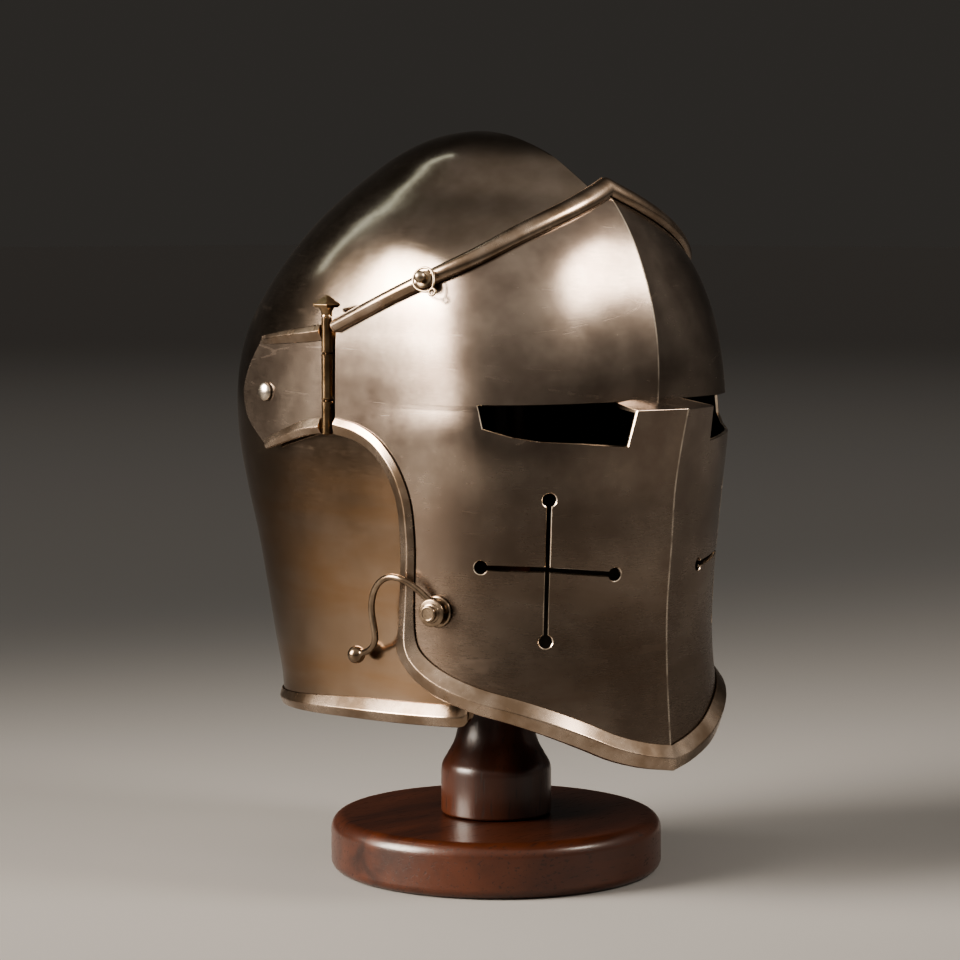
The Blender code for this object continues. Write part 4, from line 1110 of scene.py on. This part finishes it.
# ======== hook on its spool ==============================================================
# A spool is riveted to the wearer's right cheek: a flat foot, a collar and a flat head. The
# eye of an S-shaped wire turns between them, and its free end is a ball.
SPOOL_PLACE = (-116.5, 141.0)
SPOOL_SHAPE = [
    # radius, lift off the visor, how far the corner is rounded
    (0, 9.9, 0), (2.7, 9.9, 0.1), (2.9, 10.1, 0.1), (3.5, 10.1, 0.2), (3.9, 9.7, 0.3),
    (3.9, 8.1, 0.2), (3.6, 7.8, 0.1), (4.4, 7.6, 0.2), (4.7, 7.3, 0.2), (4.7, 7, 0.1),
    (6.2, 6.8, 0.3), (6.6, 6.5, 0.2), (6.6, 6, 0.2), (6.3, 5.8, 0.1), (2.2, 5.7, 0),
    (2.2, 1.8, 0.2), (6.9, 1.7, 0.3), (7.5, 1.4, 0.3), (7.6, 0.8, 0.3), (7.4, 0.5, 0.1),
    (0, 0.5, 0),
]
SPOOL_NECK = 2.2
HOOK_LIFT = 3.75
HOOK_WIRE = 1.55
HOOK_BALL = 4.3
HOOK_ROUTE = [
    # across, height, lift off the visor's face
    (-119.5, 146.6, 3.7), (-123, 150, 4.4), (-128, 154, 6.0), (-133, 156.4, 7.0),
    (-138, 156.8, 7.4), (-143, 155, 7.2), (-147.5, 151, 6.5), (-150.5, 146, 5.6),
    (-151.8, 141, 5.0), (-151.9, 136, 4.4), (-151.4, 131.5, 3.8), (-151.3, 127, 3.2),
    (-152.6, 122.9, 2.4), (-156.5, 119.6, 1.6), (-161.5, 117.6, 1.0), (-166.5, 116.2, 0.6),
]


def visor_place(across, z):
    return visor_raised(across, z, 0.0), visor_normal(np.array(across), np.array(z))


def spool():
    radii, lifts, sizes = zip(*SPOOL_SHAPE)
    shape = list(zip(radii, lifts))
    return settled(turned("spool_turned", shape, sizes), facing(*visor_place(*SPOOL_PLACE)), 40)


def wire(name, points, radii, closed=False):
    """A round wire through the points, whose radius changes along it."""
    nothing_selected()
    bpy.ops.curve.primitive_bezier_curve_add()
    piece = made(name)
    curve = piece.data
    curve.splines.clear()
    curve.bevel_depth = MM
    curve.bevel_resolution = 6
    curve.use_fill_caps = not closed
    spline = curve.splines.new("POLY")
    spline.points.add(len(points) - 1)
    for stop, point, radius in zip(spline.points, points, radii):
        stop.co = (*(Vector(point) * MM), 1)
        stop.radius = radius
    spline.use_cyclic_u = closed
    bpy.ops.object.convert(target="MESH")
    piece = bpy.context.object
    cleaned(piece)
    smooth_to(piece, 50)
    return piece


def sheet_axes(normal):
    """Directions across and up the sheet at a fitting."""
    across = unit(np.cross((0, 0, 1.0), normal))
    return across, np.cross(normal, across)


def hook():
    centre, normal = visor_place(*SPOOL_PLACE)
    across, rise = sheet_axes(normal)
    eye = SPOOL_NECK + 0.35 + HOOK_WIRE
    stops = []
    for angle in np.radians(np.arange(-165, 76, 24)):
        way = across * math.sin(angle) + rise * math.cos(angle)
        stops.append(centre + normal * HOOK_LIFT + way * eye)
    for place in smooth_path(HOOK_ROUTE, 4.4)[1:]:
        stops.append(visor_raised(*place))
    line = smooth_path(stops, 1.2)
    radii = np.full(len(line), HOOK_WIRE)
    radii[:4] = HOOK_WIRE * np.array([0.45, 0.75, 0.93, 1.0])
    tangent = unit(line[-1] - line[-3])
    reach = np.linspace(-HOOK_BALL * 0.9, HOOK_BALL, 19)
    ball = [line[-1] + tangent * r for r in reach]
    swell = np.sqrt(np.clip(HOOK_BALL ** 2 - reach ** 2, 0.01, None))
    keep = np.linalg.norm(line - line[-1], axis=1) > HOOK_BALL * 0.92
    points = np.vstack([line[keep], ball])
    sizes = np.concatenate([radii[keep], np.maximum(swell, np.where(reach < 0, HOOK_WIRE, 0.1))])
    return wire("s_hook_wire", points, sizes)


fitting_steel = burnished("fitting_steel", (0.34, 0.265, 0.195), (0.16, 0.115, 0.08))
dress(spool(), fitting_steel, "visor", "spool")
dress(hook(), fitting_steel, "hook", "s_hook")


# ======== peg and ring ===================================================================
# A ball-headed peg is riveted through the brow's edging on the wearer's right. A small ring,
# drawn out to an eye on one side, lies round its foot.
PEG_PLACE = (-119.0, 294.5)
PEG_SEAT = 5.6
PEG_BALL = 2.9
RING_WIRE = 0.6
RING_EYE = 1.6


def peg():
    boss = [(1.9, 1.5), (3.4, 1.3), (4.1, 0.8), (4.1, 0), (0, 0)]
    ball = [(PEG_BALL * math.sin(a), 3.9 + PEG_BALL * math.cos(a)) for a in np.linspace(0, 2.5, 13)]
    shape = [(radius, PEG_SEAT + lift) for radius, lift in ball + boss]
    return settled(turned("ball_peg", shape), facing(*visor_place(*PEG_PLACE)), 40)


def peg_ring():
    point, normal = visor_place(*PEG_PLACE)
    across, rise = sheet_axes(normal)
    tip = (across - rise) * math.sqrt(0.5)
    flank = (across + rise) * math.sqrt(0.5)
    level = point + normal * (PEG_SEAT + 1.1)
    turns = np.linspace(0, math.tau, 64, endpoint=False)
    loop = []
    for angle in turns:
        stretch = 1.0 + 0.35 * max(0.0, math.cos(angle)) ** 2
        loop.append(level + flank * math.sin(angle) * 5.4 + tip * math.cos(angle) * 5.6 * stretch)
    ring = wire("peg_ring_wire", loop, [RING_WIRE] * 64, closed=True)
    eye = [level + tip * (9.0 + RING_EYE * math.cos(a)) + flank * RING_EYE * math.sin(a)
           for a in turns[::2]]
    lug = wire("peg_ring_lug", eye, [RING_WIRE] * 32, closed=True)
    nothing_selected()
    lug.select_set(True)
    ring.select_set(True)
    bpy.context.view_layer.objects.active = ring
    bpy.ops.object.join()
    return ring


peg_steel = burnished("peg_steel", (0.46, 0.38, 0.29), (0.24, 0.18, 0.12), rough=0.32)
dress(peg(), peg_steel, "visor", "peg")
dress(peg_ring(), peg_steel, "visor", "peg_ring")


# ======== stand ==========================================================================
# Turned from close-grained hardwood and varnished dark red-brown: a thick round base, a
# baluster foot that draws in to a straight post, and a domed rest up in the crown.
BASE_RADIUS = 83.0
BASE_HEIGHT = 27.0
POST_TOP = 336.0
POST_RADIUS = 17.0
REST_TOP = 362.4
REST_RADIUS = 32.0


def stand_base():
    """A disc whose rim is rounded by 7 above and 5 below."""
    line = [(0, BASE_HEIGHT)]
    for a in np.linspace(0, math.pi / 2, 9):
        line.append((BASE_RADIUS - 7 * (1 - math.sin(a)), BASE_HEIGHT - 7 * (1 - math.cos(a))))
    for a in np.linspace(0, math.pi / 2, 7):
        line.append((BASE_RADIUS - 5 * (1 - math.cos(a)), 5 * (1 - math.sin(a))))
    return settled(turned("base_disc", line + [(0, 0)], steps=128))


def stand_post():
    foot = BASE_HEIGHT + GAP
    flare = smooth_path([(POST_RADIUS, 92), (19, 72), (21.3, 63), (24.8, 56.5), (27.2, 52),
                         (27.7, 48.5)], 1.5)
    shape = [(0, POST_TOP), (POST_RADIUS, POST_TOP), (POST_RADIUS, 200), *flare,
             (27.7, foot + 1.5), (27.3, foot + 0.5), (26.6, foot), (0, foot)]
    return settled(turned("post_and_foot", shape, steps=96))


def stand_rest():
    dome = [(r, REST_TOP - r * r / 66) for r in np.linspace(0, REST_RADIUS - 1, 14)]
    under = POST_TOP + GAP
    shape = dome + [(REST_RADIUS, REST_TOP - 17), (REST_RADIUS, REST_TOP - 20),
                    (REST_RADIUS - 3, under), (0, under)]
    return settled(turned("domed_rest", shape, steps=64))


def varnished(name, stretch, turn):
    """Dark hardwood under varnish: long streaks, short pores and a glossy coat."""
    wood = Finish(name, Metallic=0.0, Coat_Weight=0.40, Coat_Roughness=0.18, Specular_IOR_Level=0.4)
    streaks = wood.noise(60, 5, 0.6, stretch=stretch, turn=turn, distort=0.6)
    figure = wood.noise(16, 3, 0.5, stretch=stretch, turn=turn, distort=0.3)
    pores = wood.between(wood.noise(700, 2, 0.6, stretch=stretch, turn=turn), 0.58, 0.68)
    share = wood.between(streaks, 0.30, 0.70)
    tone = wood.blend(share, (0.016, 0.005, 0.003), (0.050, 0.014, 0.006))
    tone = wood.blend(wood.between(figure, 0.35, 0.70) * 0.5, tone, (0.080, 0.024, 0.010))
    tone = wood.blend(pores * 0.6, tone, (0.008, 0.003, 0.002))
    roughness = 0.34 + 0.10 * (streaks - 0.5) + 0.15 * pores
    relief = wood.bump(streaks * 0.6 - pores * 0.5, 0.00012, 0.5)
    wood.feeds(Base_Color=tone, Roughness=roughness, Normal=relief)
    return wood.material


across_grain = varnished("varnished_base", (0.12, 1.0, 1.0), (0, 0, 0.4))
upright_grain = varnished("varnished_post", (1.0, 1.0, 0.10), (0, 0, 0))
dress(stand_base(), across_grain, "helmet_and_stand", "stand_base")
dress(stand_post(), upright_grain, "helmet_and_stand", "stand_post")
dress(stand_rest(), upright_grain, "helmet_and_stand", "stand_rest")


# ======== studio =========================================================================
# A pale floor that falls away into a dim room through a painted pool of light round the stand, a
# soft key from behind the wearer's right, a smaller one in front, a thin tube overhead, and the
# camera at the height of the sights.
CAMERA_TURN = math.radians(45.94)
CAMERA_DISTANCE = 1.505
CAMERA_HEIGHT = 0.3235
CAMERA_LOOK = math.radians(45.63)
CAMERA_DIP = math.radians(4.89)
CAMERA_LENS = 113.465


def floor():
    """A wide flat floor, paler near the stand and darker far off: a painted pool of light."""
    nothing_selected()
    bpy.ops.mesh.primitive_plane_add(size=60, location=(0, 0, 0))
    sheet = made("floor")
    paint = Finish("floor_light_pool", Metallic=0.0, Roughness=0.75)
    away = paint.node("ShaderNodeVectorMath", {"operation": "LENGTH"}, {0: paint.place}, out=1)
    # Painted pool of light: paler near the stand, darkening with distance into the dim room.
    tone = paint.blend(paint.between(away, 0.6, 7.0), (0.25, 0.245, 0.24), (0.078, 0.075, 0.072))
    paint.feeds(Base_Color=tone)
    sheet.data.materials.append(paint.material)


def stood(name, data, place):
    """Put a light or the camera in the scene."""
    thing = bpy.data.objects.new(name, data)
    bpy.context.scene.collection.objects.link(thing)
    thing.location = place
    return thing


def softbox(name, seen_from, toward, distance, size, power, colour, along=(0, 0, 1), spread=50):
    """A soft light with a grid over it, in a direction from a place on the helmet. along is
    the way its longer side runs."""
    toward = Vector(toward).normalized()
    side = Vector(along).cross(toward).normalized()
    light = bpy.data.lights.new(name, "AREA")
    light.shape = "RECTANGLE"
    light.size, light.size_y = size
    light.energy = power
    light.color = colour
    light.spread = math.radians(spread)
    holder = stood(name, light, Vector(seen_from) + toward * distance)
    holder.rotation_euler = Matrix((side, toward.cross(side), toward)).transposed().to_euler()


floor()
WARM = (1, 0.90, 0.79)
COOL = (0.86, 1, 0.92)
softbox("side_softbox", (-0.088, -0.02, 0.275), (-0.78, 0.46, 0.40), 1.4, (0.92, 1.30), 15, WARM,
        spread=52)
softbox("front_softbox", (-0.025, -0.092, 0.300), (0.36, -0.74, 0.57), 1.4, (0.46, 0.46), 1.4, WARM)
softbox("overhead_tube", (-0.04, -0.005, 0.335), (-0.167, 0.698, 0.696), 1.09, (0.05, 1.0), 0.45,
        COOL, along=(0.557, -0.513, 0.647), spread=180)

world = bpy.data.worlds.new("studio")
world.use_nodes = True
room = Nodes(world.node_tree)
toward = room.node("ShaderNodeTexCoord", out="Generated")
lit_side = room.node("ShaderNodeVectorMath", {"operation": "DOT_PRODUCT"},
                     {0: toward, 1: (-0.5, -0.866, 0)}, out="Value")
height = room.node("ShaderNodeSeparateXYZ", sockets={0: toward}, out="Z")
brightest = room.node("ShaderNodeMapRange",
                      sockets={0: height, 1: -0.20, 2: 0.60, 3: 0.09, 4: 0.62})
glow = room.node("ShaderNodeMapRange", {"interpolation_type": "SMOOTHSTEP"},
                 {0: lit_side, 1: -0.70, 2: 0.40, 3: 0.04, 4: brightest})
background = room.tree.nodes["Background"]
background.inputs["Color"].default_value = (1.0, 0.93, 0.85, 1)
room.tree.links.new(glow.socket, background.inputs["Strength"])
bpy.context.scene.world = world
bpy.context.scene.view_settings.look = "AgX - Medium High Contrast"

camera = bpy.data.cameras.new("camera")
camera.lens = CAMERA_LENS
camera.clip_start = 0.05
viewer = stood("camera", camera, (-math.sin(CAMERA_TURN) * CAMERA_DISTANCE,
                                  -math.cos(CAMERA_TURN) * CAMERA_DISTANCE, CAMERA_HEIGHT))
viewer.rotation_euler = (math.pi / 2 - CAMERA_DIP, 0, -CAMERA_LOOK)
bpy.context.scene.camera = viewer
